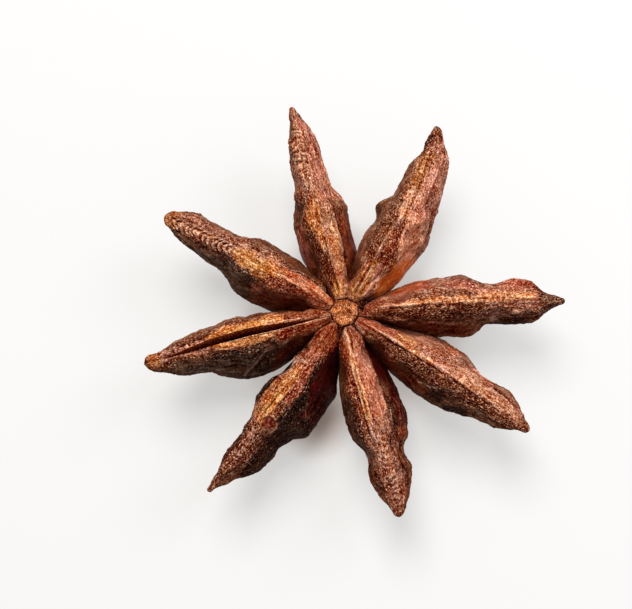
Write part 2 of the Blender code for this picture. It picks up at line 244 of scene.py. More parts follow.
# What lies on each pod's skin, in the order of painting: colour, strength, and the stretch that it
# covers as (along, lowest offset, highest offset). An offset of 4 or -4 is beyond the pod's flank.
# A patch without a stretch covers the same one as the patch before it.
PATCHES = {"north": (
    ("umber", 0.9, (1.8, 0.3, 4), (3, 0.1, 4), (5, 0.25, 4), (9, 0.9, 4), (13.6, 1, 4)),
    ("rust", 0.8, (2, -4, -0.85), (5, -4, -1.15), (7.5, -4, -1.2), (8.8, -4, -1.4)),
    ("rust", 0.9, (4.2, 1.15, 4), (5.5, 1.25, 4), (7, 1.35, 4)),
    ("red", 0.7, (4, 1.25, 4), (5.5, 1.3, 4), (7.3, 1.4, 4)),
    ("umber", 0.8, (3, 0.2, 0.9), (5, 0.35, 1.05), (7.5, 1.15, 1.5), (9, 0.6, 1.7),
     (10.3, 0.4, 1.2)),
    ("umber", 0.9, (7, 1.45, 4), (9.5, 1.1, 4), (10.4, 1.1, 4)),
    ("brown", 0.5, (1.1, -0.9, 0.6), (3.3, -0.9, 0.3)),
    ("salmon", 0.5, (1.7, -0.9, 0), (3.3, -0.7, -0.15)),
    ("tan", 0.9, (2.9, -0.95, -0.05), (5, -1.1, 0.08), (7.5, -1.15, 0.05), (9, -0.9, 0)),
    ("gold", 0.5, (3.2, -0.9, -0.4), (5, -0.9, -0.3), (6.5, -1, -0.6)),
    ("gold", 1, (4.6, 0.3, 0.42), (5.6, 0, 0.55), (7, 0, 1), (7.6, 0, 1.1), (8.2, 0, 0.7),
     (8.9, 0, 0.1)),
    ("tan", 0.3, (4.8, 0.2, 0.5), (7, 0.1, 0.9), (8.6, 0.1, 0.5)),
    ("gold", 0.9, (1, -0.4, 0.45), (2.3, -0.4, 0.3)),
    ("straw", 0.6, (1.2, -0.1, 0.35), (2.3, -0.25, 0.2)),
    ("brown", 0.8, (7.6, -4, -1.35), (8.3, -4, -1.1), (9, -4, -1.2)),
    ("pink", 0.9, (8.6, -4, -0.1), (10, -4, -0.2), (12.5, -4, -0.3), (15, -4, 0)),
    ("orange", 0.7, (9.6, 1, 4), (11, 0.9, 4), (13.2, 0.8, 4)),
    ("mauve", 0.7, (8.9, 0.2, 1.3), (11, 0.6, 1.2), (13, 0.6, 1.1)),
    ("tan", 0.9, (9, -0.1, 0.4), (10.5, -0.2, 0.7), (13.5, -0.3, 0.7), (14.5, -0.1, 0.3)),
    ("brown", 0.9, (13.4, 0.3, 4), (14.5, 0.15, 4), (15.6, 0.1, 4)),
    ("brown", 0.8, (14.9, -0.3, 0.2), (15.6, -0.3, 0.2)),
), "north_east": (
    ("brown", 0.9, (3.5, -0.2, 4), (6, -0.4, 4), (10, -0.2, 4), (13.5, 0.2, 4)),
    ("pink", 0.7, (1.5, -4, -0.4), (8, -4, -1), (15, -4, -0.5)),
    ("umber", 0.95, (4.2, -2, -0.45), (5.5, -1.9, -0.5), (7, -1.2, -0.6), (8, -1, -0.8)),
    ("rust", 0.5),
    # Painted light: a pale patch made lighter than its own colour, on a flank facing away from the
    # key.
    ("lit_cream", 0.9, (5.2, -2.5, -1.75), (6.2, -2.6, -1.35), (7.5, -2.6, -1.1), (8.7, -2.4, -1.2)),
    ("orange", 1, (1.1, -0.6, 0.5), (2.5, -0.7, 0.4), (4.4, -0.6, 0.1)),
    ("rust", 0.6, (2.4, -0.1, 0.3), (4.4, -0.25, 0.1)),
    ("ember", 1, (1.9, -4, -1.3), (3.5, -4, -1.25), (5, -4, -1.8), (6, -4, -2.4)),
    ("mauve", 0.8, (4.3, 0.8, 4), (6, 0.95, 4), (7.4, 1, 4)),
    ("pale", 0.75, (7.6, -1.1, -0.5), (8.3, -1.2, -0.2), (9.8, -1.1, -0.1), (10.5, -1, -0.4)),
    ("tan", 0.9, (10.2, -1, 0.05), (11.5, -1, 0.2), (13.7, -0.9, 0.1)),
    ("orange", 0.9, (10.4, -0.8, 0), (13.4, -0.6, 0.1)),
    ("pink", 0.7, (8.3, -2.3, -1.25), (10.5, -2.3, -1.1), (12.8, -1.9, -1)),
    ("brown", 0.5, (6.6, -4, -2.7), (7.8, -4, -2.6), (9.2, -2.7, -2.3)),
    ("umber", 0.9, (7.8, 1, 4), (9, 1, 4)),
    ("brown", 0.6, (10.3, 0.25, 4), (12, 0.4, 4), (13.5, 0.3, 4)),
    ("umber", 0.9, (13.5, -0.1, 4), (14.8, -0.1, 4)),
    ("black", 0.4, (13.8, -0.1, 4), (14.6, -0.05, 4)),
    ("brown", 0.9, (14.7, -0.7, 0.1), (15.6, -0.7, 0.5)),
), "east": (
    ("mauve", 0.9, (1.8, 0.5, 4), (9, 0.5, 4), (15, 0.3, 4)),
    ("umber", 0.95, (1.8, -4, -0.3), (3.2, -4, 0), (6, -4, 0.1), (9.5, -4, 0.1), (11, -4, 0),
     (14, -4, -0.1)),
    ("umber", 0.6, (3, -1.2, -0.1), (4.5, -1.1, 0.05), (6.5, -0.9, 0.1), (9.5, -0.6, 0.15)),
    ("rust", 0.4, (4, -4, -1), (8, -4, -1.1), (10, -4, -1.2)),
    ("rust", 0.5, (1.3, -0.5, 0.9), (2.5, -0.3, 0.9), (4, 0.15, 0.7)),
    ("red", 0.9, (3.6, 1.2, 4), (5.5, 1.35, 4), (6.6, 1.65, 4)),
    ("ember", 0.25, (3.6, 1.4, 4), (5.2, 1.5, 4), (6, 1.9, 4)),
    ("red", 0.7, (7.7, 1, 1.9), (8.5, 1.2, 2.1), (9.4, 0.9, 1.6)),
    ("umber", 0.7, (8.3, 2.05, 4), (9.3, 1.8, 4), (10.4, 1.7, 4)),
    ("pink", 0.5, (9.4, 0.7, 1.5), (11.3, 0.7, 1.4), (12.2, 0.7, 1.1)),
    ("red", 0.9, (11.4, 1.35, 4), (12.5, 1, 4), (13.2, 1, 4)),
    ("red", 0.5, (12.8, 1, 4), (14.5, 0.7, 4)),
    ("brown", 0.7, (5, 0.45, 1.1), (7.5, 0.5, 1.25), (9.6, 0.55, 1)),
    ("pale", 0.95, (3.4, 0.12, 0.3), (5.6, 0.1, 0.5), (7, 0.1, 0.6), (9.4, 0.1, 0.6),
     (10.2, 0.2, 0.85), (12, 0.15, 0.85), (13.8, 0.1, 0.65)),
    ("mauve", 0.8, (10.5, -0.7, 0), (12, -0.85, 0), (14, -0.8, 0)),
    ("black", 0.8, (11, -1.8, -1), (12.5, -1.8, -1), (13.4, -1.6, -1.1)),
    ("brown", 0.9, (14.3, -4, 4), (16.3, -4, 4)),
    ("moss", 0.6),
    ("gold", 0.4, (4.6, 0.1, 0.6), (9.4, 0.1, 0.7), (10.4, 0.2, 0.9), (13.8, 0.1, 0.8)),
    ("black", 0.6, (0.9, 0.05, 0.7), (1.3, 0.1, 0.6), (1.6, 0.3, 0.5)),
), "south_east": (
    ("pink", 0.7, (1.8, 0.3, 4), (9, 0.1, 4), (15, 0.1, 4)),
    ("umber", 0.95, (2, -4, -0.1), (5, -4, 0), (9, -4, 0), (14.8, -4, -0.05)),
    ("red", 0.95, (1.2, -0.3, 0.6), (3, 0, 0.8), (4.5, 0.1, 0.7)),
    ("rust", 0.35),
    ("gold", 0.75, (4.2, 0.25, 1.1), (5, 0.2, 1.3), (6.1, 0.3, 1)),
    ("pink", 0.7, (4.5, 1.1, 4), (6, 1.4, 4), (8.5, 1.6, 4)),
    ("mauve", 0.6, (5.8, 0.4, 1.8), (7.5, 0.5, 1.9), (9.4, 0.6, 1.8)),
    ("pale", 0.6, (8.3, 0.6, 1.2), (9.6, 0.6, 1.2)),
    ("brown", 0.85, (8.8, 1.7, 4), (9.5, 1.5, 4), (10.1, 1.9, 4)),
    ("tan", 0.85, (9.4, 0.05, 1.3), (12, 0.05, 1.3), (14, 0.05, 1), (14.9, 0, 0.5)),
    ("pale", 0.9, (3.4, 0.02, 0.2), (6.3, 0.02, 0.35), (7.2, 0.02, 0.55), (7.5, 0.02, 0.3)),
    ("brown", 0.4, (8.2, -1, -0.2), (10, -1.1, -0.2), (13.5, -1.2, -0.2)),
    ("rust", 0.85, (4, -4, -1.1), (8, -4, -1.3)),
    ("black", 0.8, (8, -1.6, -1.05), (9.5, -1.6, -1.05)),
    ("black", 0.85, (9.6, -4, -1.6), (11.3, -4, -1.2), (11.8, -4, -1.3)),
    ("brown", 0.8, (12, 1.35, 4), (13.5, 1.3, 4), (14.8, 0.8, 4)),
    ("brown", 0.9, (15.1, -4, 4), (16, -4, 4)),
), "south": (
    ("umber", 0.95, (1.5, 0.8, 4), (4, 1, 4), (6, 1.25, 4), (9, 1.2, 4), (11, 1.3, 4),
     (14.5, 0.9, 4)),
    ("umber", 0.9, (1.5, -4, -0.6), (8, -4, -1), (14, -4, -0.7)),
    # Partly painted shade: the root flank's dark maroon is darker here, beside the next pod.
    ("port_with_shade", 0.9, (2, 0.8, 4), (5.3, 1.1, 4)),
    ("black", 0.7, (6.8, 1.2, 1.7), (8.8, 1.2, 1.9)),
    ("wine", 0.7, (4.8, 1.5, 4), (9.5, 1.9, 4)),
    ("black", 0.4),
    ("rust", 0.7, (8.9, 1.6, 2.3), (9.8, 1.5, 2.2)),
    ("brown", 0.9, (1.2, -0.5, 0.6), (3, -0.5, 0.8)),
    ("rust", 0.65),
    ("pink", 0.95, (2.8, -0.1, 0.8), (4, -0.1, 1.05), (6.5, -0.1, 1.15), (7.8, 0, 0.9),
     (8.5, 0.1, 0.4)),
    ("ash", 0.6, (1.2, 0.05, 0.5), (2.6, 0, 0.45)),
    ("mauve", 0.85, (8, 0.2, 1.3), (9, -0.3, 1.25), (13.5, -0.5, 1.2), (14.4, -0.3, 0.8)),
    ("tan", 0.6, (9.6, -0.1, 0.5), (12.5, -0.1, 0.5)),
    ("pale", 0.95, (1, -0.45, -0.25), (3, -0.47, -0.25), (4, -0.6, -0.1), (7.8, -0.6, -0.1),
     (8.3, -0.4, -0.2)),
    ("straw", 0.3, (2.6, -0.47, -0.25), (4, -0.6, -0.1), (7.8, -0.6, -0.1), (8.3, -0.4, -0.2)),
    ("rust", 0.8, (2, -1, -0.55), (5, -1.1, -0.6), (9, -1, -0.6)),
    ("brown", 0.6, (5.5, -1.1, -0.75), (9.5, -0.95, -0.65)),
    ("umber", 0.7, (4.3, -4, -1.2), (6.5, -4, -1.7)),
    ("black", 0.5, (6, -4, -1.15), (8, -4, -1.1), (10, -4, -0.85), (10.8, -4, -0.8)),
    ("umber", 0.8, (10.5, -4, -0.7), (13.8, -4, -0.6)),
    ("ash", 0.5, (10.2, -1.2, -0.95), (10.9, -1.2, -0.95)),
    ("mauve", 0.6, (13.1, -0.5, 0.6), (14.8, -0.4, 0.5)),
    ("brown", 0.8, (14.85, -4, 4), (15.3, -4, 4)),
), "south_west": (
    ("black", 0.95, (5, 1.35, 4), (9, 1.25, 4), (10.5, 1.05, 4), (14.4, 1, 4)),
    ("black", 0.95, (2.5, -4, -0.45), (5, -4, -0.85), (6, -4, -0.98), (9.4, -4, -1.02),
     (14, -4, -0.6)),
    # Partly painted shade: the root flank's dark maroon is darker here, beside the south pod.
    ("port_with_shade", 0.95, (1.8, 0.6, 4), (3, 0.8, 4), (5.5, 1.3, 4), (6.5, 1.7, 4), (7.6, 2.2, 4)),
    ("black", 0.5, (5.6, 1.9, 4), (6.6, 2.2, 4), (7.8, 2.2, 4)),
    ("brown", 0.9, (1.4, -0.3, 0.7), (4, -0.2, 1.1), (6, 0.3, 1.35), (9, 0.3, 1.25),
     (10.3, 0.4, 1.2)),
    ("black", 0.85, (4, 0.75, 1.15), (6, 0.95, 1.4), (9, 0.9, 1.3), (10.3, 0.75, 1.25)),
    ("rust", 0.7, (1.2, -0.6, 0.9), (3, -0.7, 0.9), (4.4, -0.6, 0.3)),
    ("red", 0.7, (3.6, -0.1, 0.6), (5.6, 0, 0.95), (7.8, 0.45, 1.1)),
    ("rust", 0.3),
    ("gold", 0.85, (5.1, -0.45, 0.2), (6, -0.6, 0.35), (8.5, -0.7, 0.35), (9.7, -0.7, 0.3),
     (10.3, -0.35, 0.4)),
    ("orange", 0.6, (6.5, -1.05, -0.6), (8.3, -1.05, -0.2), (9.9, -1, -0.1)),
    ("straw", 0.4, (7.4, -0.3, 0.1), (8.3, -0.45, 0.15), (9.3, -0.35, 0.1)),
    ("mauve", 0.6, (9.25, 0.4, 1.2), (10.3, 0.4, 1.2)),
    ("umber", 0.85, (10.3, -0.7, 1.1), (14, -0.5, 0.9), (16, -0.3, 0.4)),
    ("mauve", 0.5, (10.8, -0.3, 0.45), (13.9, -0.2, 0.4)),
    ("black", 0.6, (10.2, -4, -0.62), (11.4, -4, -0.4), (14.5, -4, -0.32)),
    ("brown", 0.7, (14.2, -4, 4), (16.4, -4, 4)),
), "west": (
    ("moss", 0.95, (5.2, 0.7, 4), (8, 0.8, 4), (10, 0.6, 4), (13.8, 0.35, 4), (14.2, 0.4, 4)),
    ("brown", 0.9, (2, -4, -0.9), (5, -4, -1.2), (9, -4, -1.1), (10.5, -4, -0.65), (14, -4, -0.5)),
    ("rust", 0.9, (2.2, 0.95, 4), (4, 1.1, 4), (5.5, 1.6, 4), (6.2, 2.3, 4)),
    ("scar", 0.6, (2.2, 1.1, 4), (4, 1.3, 4), (5.5, 1.8, 4), (6.2, 2.3, 4)),
    ("rust", 0.85, (1.1, 0.05, 0.95), (4, 0.15, 1.1), (5.4, 0.2, 0.9)),
    ("rust", 0.95, (1.3, -0.9, -0.05), (4, -1.1, -0.3), (5, -1.2, -0.5)),
    ("brown", 0.4),
    ("gold", 1, (5.2, 0, 0.25), (6.2, 0, 0.65), (7.5, 0, 0.75), (9.2, 0, 0.5), (10, 0, 0.2)),
    ("gold", 1, (4.5, -0.7, -0.4), (5.2, -1.15, -0.3), (7, -1.2, -0.3), (9, -1.1, -0.3),
     (10.3, -0.65, -0.3)),
    ("straw", 0.6, (6, -0.9, -0.45), (8.8, -0.85, -0.45)),
    ("mauve", 0.8, (10.2, -0.7, -0.1), (12, -0.6, 0), (14, -0.6, 0)),
    ("mauve", 0.6, (10, 0, 0.5), (13.8, 0, 0.4)),
    ("brown", 0.85, (9.8, 0.5, 1.1), (13, 0.4, 0.9)),
    ("brown", 0.9, (5.5, -4, -1.25), (7, -4, -1.2), (9, -4, -1.2)),
    ("umber", 0.9, (13.2, 0.35, 4), (14.4, 0.4, 4)),
    ("orange", 0.8, (13.9, -4, 0.3), (14.3, -4, 0.6), (15.1, -4, 0.9)),
    ("black", 0.7, (14.85, -0.3, 0.35), (15.2, -0.3, 0.35)),
    ("mauve", 0.8, (5.75, 0.8, 1.3), (6.25, 0.8, 1.3)),
), "north_west": (
    ("moss", 0.95, (6, 0.7, 4), (9, 0.6, 4), (14.2, 0.6, 4)),
    ("brown", 0.85, (2, -4, -0.9), (5, -4, -0.9), (7, -4, -1), (14, -4, -0.8)),
    ("rust", 0.6, (1.2, 0, 4), (5, 0.05, 4), (6.3, 0.5, 4), (7, 1.3, 4)),
    ("salmon", 0.9, (1, -0.55, 0), (3, -0.8, 0), (5.4, -0.8, 0.05)),
    ("red", 0.4, (3.2, -0.7, -0.1), (5.3, -0.9, -0.2)),
    ("tan", 0.6, (5.3, -1.1, -0.6), (7, -1, -0.6), (9, -0.9, -0.5)),
    ("gold", 1, (5.1, -0.4, 0.05), (6, -0.6, 0.4), (6.8, -0.6, 0.95), (7.5, -0.55, 0.65),
     (8.2, -0.5, 0.85), (8.9, -0.45, 0.4), (9.2, -0.3, 0.1)),
    ("tan", 0.6, (5.1, -0.35, 0.05), (5.9, -0.4, 0.1)),
    ("straw", 0.4, (6, -0.3, 0.2), (7, -0.2, 0.5), (8.2, -0.2, 0.4)),
    ("brown", 0.95, (6.8, -1.5, -0.85), (8.6, -1.5, -0.8)),
    ("brown", 0.6, (7.6, -4, -1.5), (8.2, -4, -1.5)),
    ("mauve", 0.7, (8.9, -1.3, -0.3), (13.6, -1.2, -0.3)),
    ("brown", 0.85, (9.3, 0.35, 0.8), (11, 0.45, 0.9), (14, 0.5, 1)),
    ("tan", 0.75, (9.2, -0.3, 0.3), (14, -0.2, 0.45)),
    ("umber", 0.5, (9.2, -0.75, -0.35), (13.8, -0.6, -0.3)),
    ("orange", 0.8, (14.1, -4, 0.6), (15.2, -4, 0.9)),
)}

# Ridges and creases that run along a pod: colour, strength, height, half width, and their way as
# (along, offset). Their colours are partly the skin's own and partly painted highlight on the
# ridges and painted shade in the creases.
LINES = {"north": (
    ("black", 0.9, -0.06, 0.05, (1.8, 0.05), (3, 0.08), (4.5, 0.12), (6, 0.1)),
    ("pale", 0.8, 0.04, 0.05, (2, -0.05), (4, 0), (6, -0.02)),
    ("pale", 0.7, 0.04, 0.07, (5, -1), (7, -1.1), (8.2, -0.95)),
    ("black", 0.7, -0.08, 0.08, (2.3, -0.95), (5, -1.22), (7, -1.27), (8.5, -1.2)),
    ("umber", 0.7, -0.06, 0.06, (7.6, 1.1), (8.4, 0.6), (9, 0.1)),
), "north_east": (
    ("pale", 0.9, 0.05, 0.07, (4.5, -0.2), (6, -0.32), (7.6, -0.5)),
    ("tan", 0.7, 0.06, 0.07, (1.3, 0.15), (4.2, 0.05)),
    ("tan", 0.7, 0.06, 0.07, (1.3, -0.2), (4.3, -0.35)),
    ("umber", 0.8, -0.06, 0.05, (1.5, -0.02), (4.2, -0.15)),
    ("pale", 0.8, 0.06, 0.08, (1.4, -0.55), (2.5, -0.85), (4.2, -1.4)),
    ("umber", 0.8, -0.05, 0.05, (7.6, -0.45), (8.4, -0.15), (9.8, -0.05), (11, 0.1)),
    ("black", 0.7, -0.06, 0.06, (4.6, -1.75), (6.5, -2.1)),
), "east": (
    ("pale", 0.9, 0.05, 0.07, (2.4, 0.2), (4, 0.2), (5.6, 0.25)),
    ("black", 0.7, -0.08, 0.07, (3, 0.04), (6, 0.06), (9.6, 0.06)),
    ("brown", 0.6, 0.08, 0.09, (8.6, -1.05), (10.5, -0.85), (12, -0.75), (13.7, -0.5)),
    ("ash", 0.5, 0.05, 0.05, (3.4, -0.75), (6, -1.05), (8.4, -1.2)),
    ("black", 0.8, -0.06, 0.08, (10.8, 1.6), (11.3, 1.5), (11.9, 1.45)),
), "south_east": (
    ("pale", 0.9, 0.04, 0.05, (1.8, 0.12), (4, 0.14), (7, 0.2)),
    ("umber", 0.8, -0.06, 0.06, (2.2, -0.02), (5, 0), (9, -0.02), (14, -0.05)),
    ("black", 0.5, -0.02, 0.04, (2.8, -0.03), (5, 0), (8.2, -0.02)),
    ("black", 1, -0.1, 0.09, (11.8, 1.45), (13, 1.3), (14.6, 0.8)),
    ("pale", 0.5, 0.04, 0.04, (7, -1.3), (9, -1.15)),
    ("tan", 0.4, 0.05, 0.05, (10, -1.2), (12, -0.8), (14, -0.6)),
    ("black", 0.5, -0.05, 0.05, (9.5, -1), (11.5, -0.7), (13.5, -0.5)),
), "south": (
    ("pale", 0.9, 0.05, 0.06, (1.2, -0.3), (4, -0.25), (7.9, -0.2)),
    ("pale", 0.9, 0.04, 0.05, (3.8, -0.55), (7.9, -0.5)),
    ("rust", 0.8, -0.05, 0.05, (3.9, -0.4), (7.8, -0.38)),
    ("umber", 0.85, -0.06, 0.06, (4.5, -0.66), (9.5, -0.62)),
    ("pale", 0.5, 0.04, 0.07, (5.6, 1.15), (7, 1.05), (7.9, 0.8), (8.5, 0.3)),
    ("umber", 0.6, -0.04, 0.05, (9.5, -0.35), (13.8, -0.15)),
    ("black", 0.9, -0.1, 0.09, (9.6, 1.75), (10.8, 1.25), (12.4, 1.45), (13.6, 1.15)),
), "south_west": (
    ("black", 0.9, -0.07, 0.05, (6.6, 0.36), (8.9, 0.38)),
    ("pale", 0.6, 0.04, 0.05, (3.4, 0.15), (4.4, 0.1), (5.5, -0.05)),
    ("ash", 0.4, 0.07, 0.045, (6.4, 1.5), (7.4, 2.1), (8.3, 2.8)),
    ("black", 0.8, -0.05, 0.04, (8, -0.08), (9.3, -0.18)),
    ("black", 0.8, -0.07, 0.07, (5.2, 1.35), (7, 1.42), (9.2, 1.38)),
), "west": (
    ("pale", 0.9, 0.05, 0.05, (1.8, 0.08), (5.5, 0.13), (9, 0.1)),
    ("pale", 0.7, 0.04, 0.05, (3, -0.28), (5, -0.47), (10, -0.45), (12, -0.2)),
    ("ash", 0.5, 0.08, 0.05, (5.8, 1), (7, 1.75), (8.5, 2.55)),
    ("black", 0.7, -0.06, 0.08, (6, 1.35), (7.1, 2.05), (8.3, 2.75)),
    ("black", 0.8, -0.07, 0.05, (8.9, -1.12), (10.3, -0.72), (12.5, -0.45)),
    ("umber", 0.8, -0.05, 0.05, (5.4, 0.55), (6.4, 0.82), (8.5, 0.82), (10, 0.5)),
), "north_west": (
    ("pale", 0.8, 0.05, 0.06, (2.8, 0.02), (5.3, 0)),
    ("black", 0.8, -0.06, 0.06, (1.3, -0.62), (3, -0.92), (6, -1.02)),
    ("umber", 0.6, -0.05, 0.06, (6.9, -0.2), (7.4, 0.1), (8, 0.2)),
)}

# Cross-wrinkles over the suture near the beak: from, to (along), offset of the middle, half width,
# size, and how far their middles reach towards the tip. They come once every LADDER_STEP.
LADDERS = {
    "north": (10.6, 14.4, 0.3, 0.65, 0.06, 0.3),
    "north_east": (9.8, 13.4, -0.5, 0.5, 0.035, 0.2),
    "east": (5.6, 13.8, 0.35, 0.26, 0.045, 0.1),
    "south_east": (9.0, 14.2, 0.45, 0.5, 0.03, 0.2),
    "south": (9.4, 14.4, 0.15, 0.5, 0.05, 0.3),
    "south_west": (10.6, 14.0, 0.05, 0.45, 0.035, 0.2),
    "west": (10.8, 14.0, -0.4, 0.3, 0.06, 0.1),
    "north_west": (9.2, 14.3, 0.1, 0.45, 0.085, 0.5),
}
LADDER_STEP = 0.45

# Single bumps and dents: along, offset, radius, height.
BUMPS = {"north": (
    (8.1, -1.9, 0.45, 0.16), (9, -1.45, 0.3, -0.1), (9.4, 1.2, 0.4, 0.1), (7, 0.5, 0.6, 0.08),
), "north_east": (
    (8.8, 1.2, 0.35, 0.15), (7.4, -2.6, 0.4, 0.12), (7, -1.7, 0.35, -0.12), (8.4, -0.7, 0.4, 0.1),
), "east": (
    (8.9, 2.2, 0.4, 0.12), (8.4, 1.4, 0.5, 0.14), (9.9, -0.9, 0.5, -0.1), (1.25, 0.35, 0.22, -0.5),
), "south_east": (
    (9.4, 2, 0.4, 0.12), (10.7, -1.6, 0.6, -0.14), (7.4, 1.4, 0.4, 0.08), (8.9, 0.9, 0.4, 0.08),
    (15, 0.75, 0.4, -0.2), (15, -0.6, 0.4, -0.14),
), "south": (
    (9.4, 2, 0.35, 0.14), (11.2, 1.4, 0.5, -0.12), (7.6, 1.4, 0.4, 0.08), (6.5, 0.5, 1.2, 0.1),
), "south_west": (
    (8.3, -1.2, 0.4, 0.1), (4.5, 1.9, 1.2, -0.15), (11.3, 1.8, 0.5, -0.1),
), "west": (
    (6, 1.05, 0.25, 0.14), (4, 1.8, 1, -0.18), (8.6, -1.4, 0.35, 0.1), (6.4, 1.5, 0.1, 0.08),
    (15.05, 0.05, 0.25, -0.25), (14.2, -0.5, 0.35, -0.1),
), "north_west": (
    (7.9, -1.6, 0.4, 0.14), (7.6, 1.7, 0.7, 0.1), (9.5, 0.9, 0.5, -0.1), (6.8, 0.3, 0.5, 0.08),
)}
# The round scar, and the smooth patch: where they lie.
SCAR_POD, SCAR_ALONG, SCAR_OFFSET, SCAR_RADIUS = "south_west", 9.78, 0.54, 0.52
CALM_POD = "south"
CALM_ROWS = ((2.8, -0.1, 0.8), (4, -0.1, 1.1), (6.5, -0.1, 1.2), (8.5, 0.1, 0.9))


def linear(colour):
    """A screen colour as the light it stands for."""
    return np.array(colour) ** SCREEN_POWER


def screen(light):
    """The other way round."""
    return light ** (1 / SCREEN_POWER)


TINTS = {key: linear(colour) for key, colour in PALETTE.items()}


def smooth_curve(points):
    """A function that runs smoothly through (x, y) points and never overshoots them."""
    x, y = np.array(points, float).T
    step = np.diff(x)
    slope = np.diff(y) / step
    before, after = slope[:-1], slope[1:]
    same_way = before * after > 0
    inner = np.where(same_way, 2 * before * after / np.where(same_way, before + after, 1), 0)
    tangent = np.concatenate([slope[:1], inner, slope[-1:]])

    def value(at):
        at = np.clip(at, x[0], x[-1])
        i = np.clip(np.searchsorted(x, at, side="right") - 1, 0, len(x) - 2)
        u = (at - x[i]) / step[i]
        start = y[i] * (1 + 2 * u) * (1 - u) ** 2 + step[i] * tangent[i] * u * (1 - u) ** 2
        end = y[i + 1] * u**2 * (3 - 2 * u) + step[i] * tangent[i + 1] * u**2 * (u - 1)
        return start + end

    return value


def noise(points, size, seed):
    """Smooth random values from -1 to 1, with lumps about one size across. size may differ per
    axis."""
    table = np.random.default_rng(seed).uniform(-1, 1, (NOISE_CELLS,) * 3)
    at = points / np.asarray(size, float)
    low = np.floor(at).astype(int)
    part = at - low
    part = part * part * (3 - 2 * part)
    total = 0
    for corner in np.ndindex(2, 2, 2):
        i, j, k = np.moveaxis((low + corner) % NOISE_CELLS, -1, 0)
        share = np.prod(np.where(corner, part, 1 - part), -1)
        total = total + share * table[i, j, k]
    return total


def hill(value, middle, width):
    """1 at the middle, and falling softly to 0 within about twice the width."""
    return np.exp(-(((value - middle) / width) ** 2))


def noise_of(points, seed):
    """The noise at these points, by its size and a step that tells its uses apart."""
    return lambda size, step: noise(points, size, seed + step)


def ease(low, high, value):
    """0 below low, 1 above high, and smooth between them."""
    t = np.clip((value - low) / (high - low), 0, 1)
    return t * t * (3 - 2 * t)


def crest_curve(pod):
    span = pod.length
    return smooth_curve((
        (ROOT_ALONG, ROOT_CREST),
        (0.27 * span, ROOT_CREST + 0.75 * (pod.crest - ROOT_CREST)),
        (0.5 * span, pod.crest),
        (0.75 * span, 0.55 * pod.crest + 0.45 * (pod.beak + 0.6)),
        (0.93 * span, pod.beak + 0.55),
        (span, pod.beak + 0.8 * pod.tip),
    ))


def keel_curve(pod):
    span = pod.length
    return smooth_curve((
        (ROOT_ALONG, ROOT_KEEL),
        (0.25 * span, pod.foot + 0.5),
        (0.43 * span, pod.foot),
        (0.60 * span, pod.foot + 0.75),
        (0.72 * span, pod.foot + 2.1),
        (0.84 * span, 0.35 * pod.foot + 0.65 * (pod.beak - 1.0)),
        (0.95 * span, pod.beak - 0.75),
        (span, pod.beak - 0.8 * pod.tip),
    ))


def outline_curve(pod, points):
    return smooth_curve(((ROOT_ALONG, ROOT_HALF_WIDTH), *points, (pod.length, pod.tip)))


def suture_curve(pod):
    return smooth_curve(((ROOT_ALONG, 0.0), *pod.suture, (pod.length, 0.0)))


SECTION_STEPS = np.linspace(0, 1, len(SECTION))
SECTION_DEPTH = smooth_curve([(s, d) for s, (d, _) in zip(SECTION_STEPS, SECTION)])
SECTION_WIDTH = smooth_curve([(s, w) for s, (_, w) in zip(SECTION_STEPS, SECTION)])
ROOT_WIDTH = smooth_curve(list(zip(SECTION_STEPS, ROOT_WIDTHS)))


def mouth_half_width(name, along):
    """Half the width of the crack along a pod's suture."""
    if name != SPLIT_POD:
        return 0.006 + 0 * along
    share = np.clip((along - SLIT_FROM) / (SLIT_TO - SLIT_FROM), 0, 1)
    return 0.014 + SLIT_HALF_WIDTH * np.sin(math.pi * share) ** SLIT_ROUNDNESS


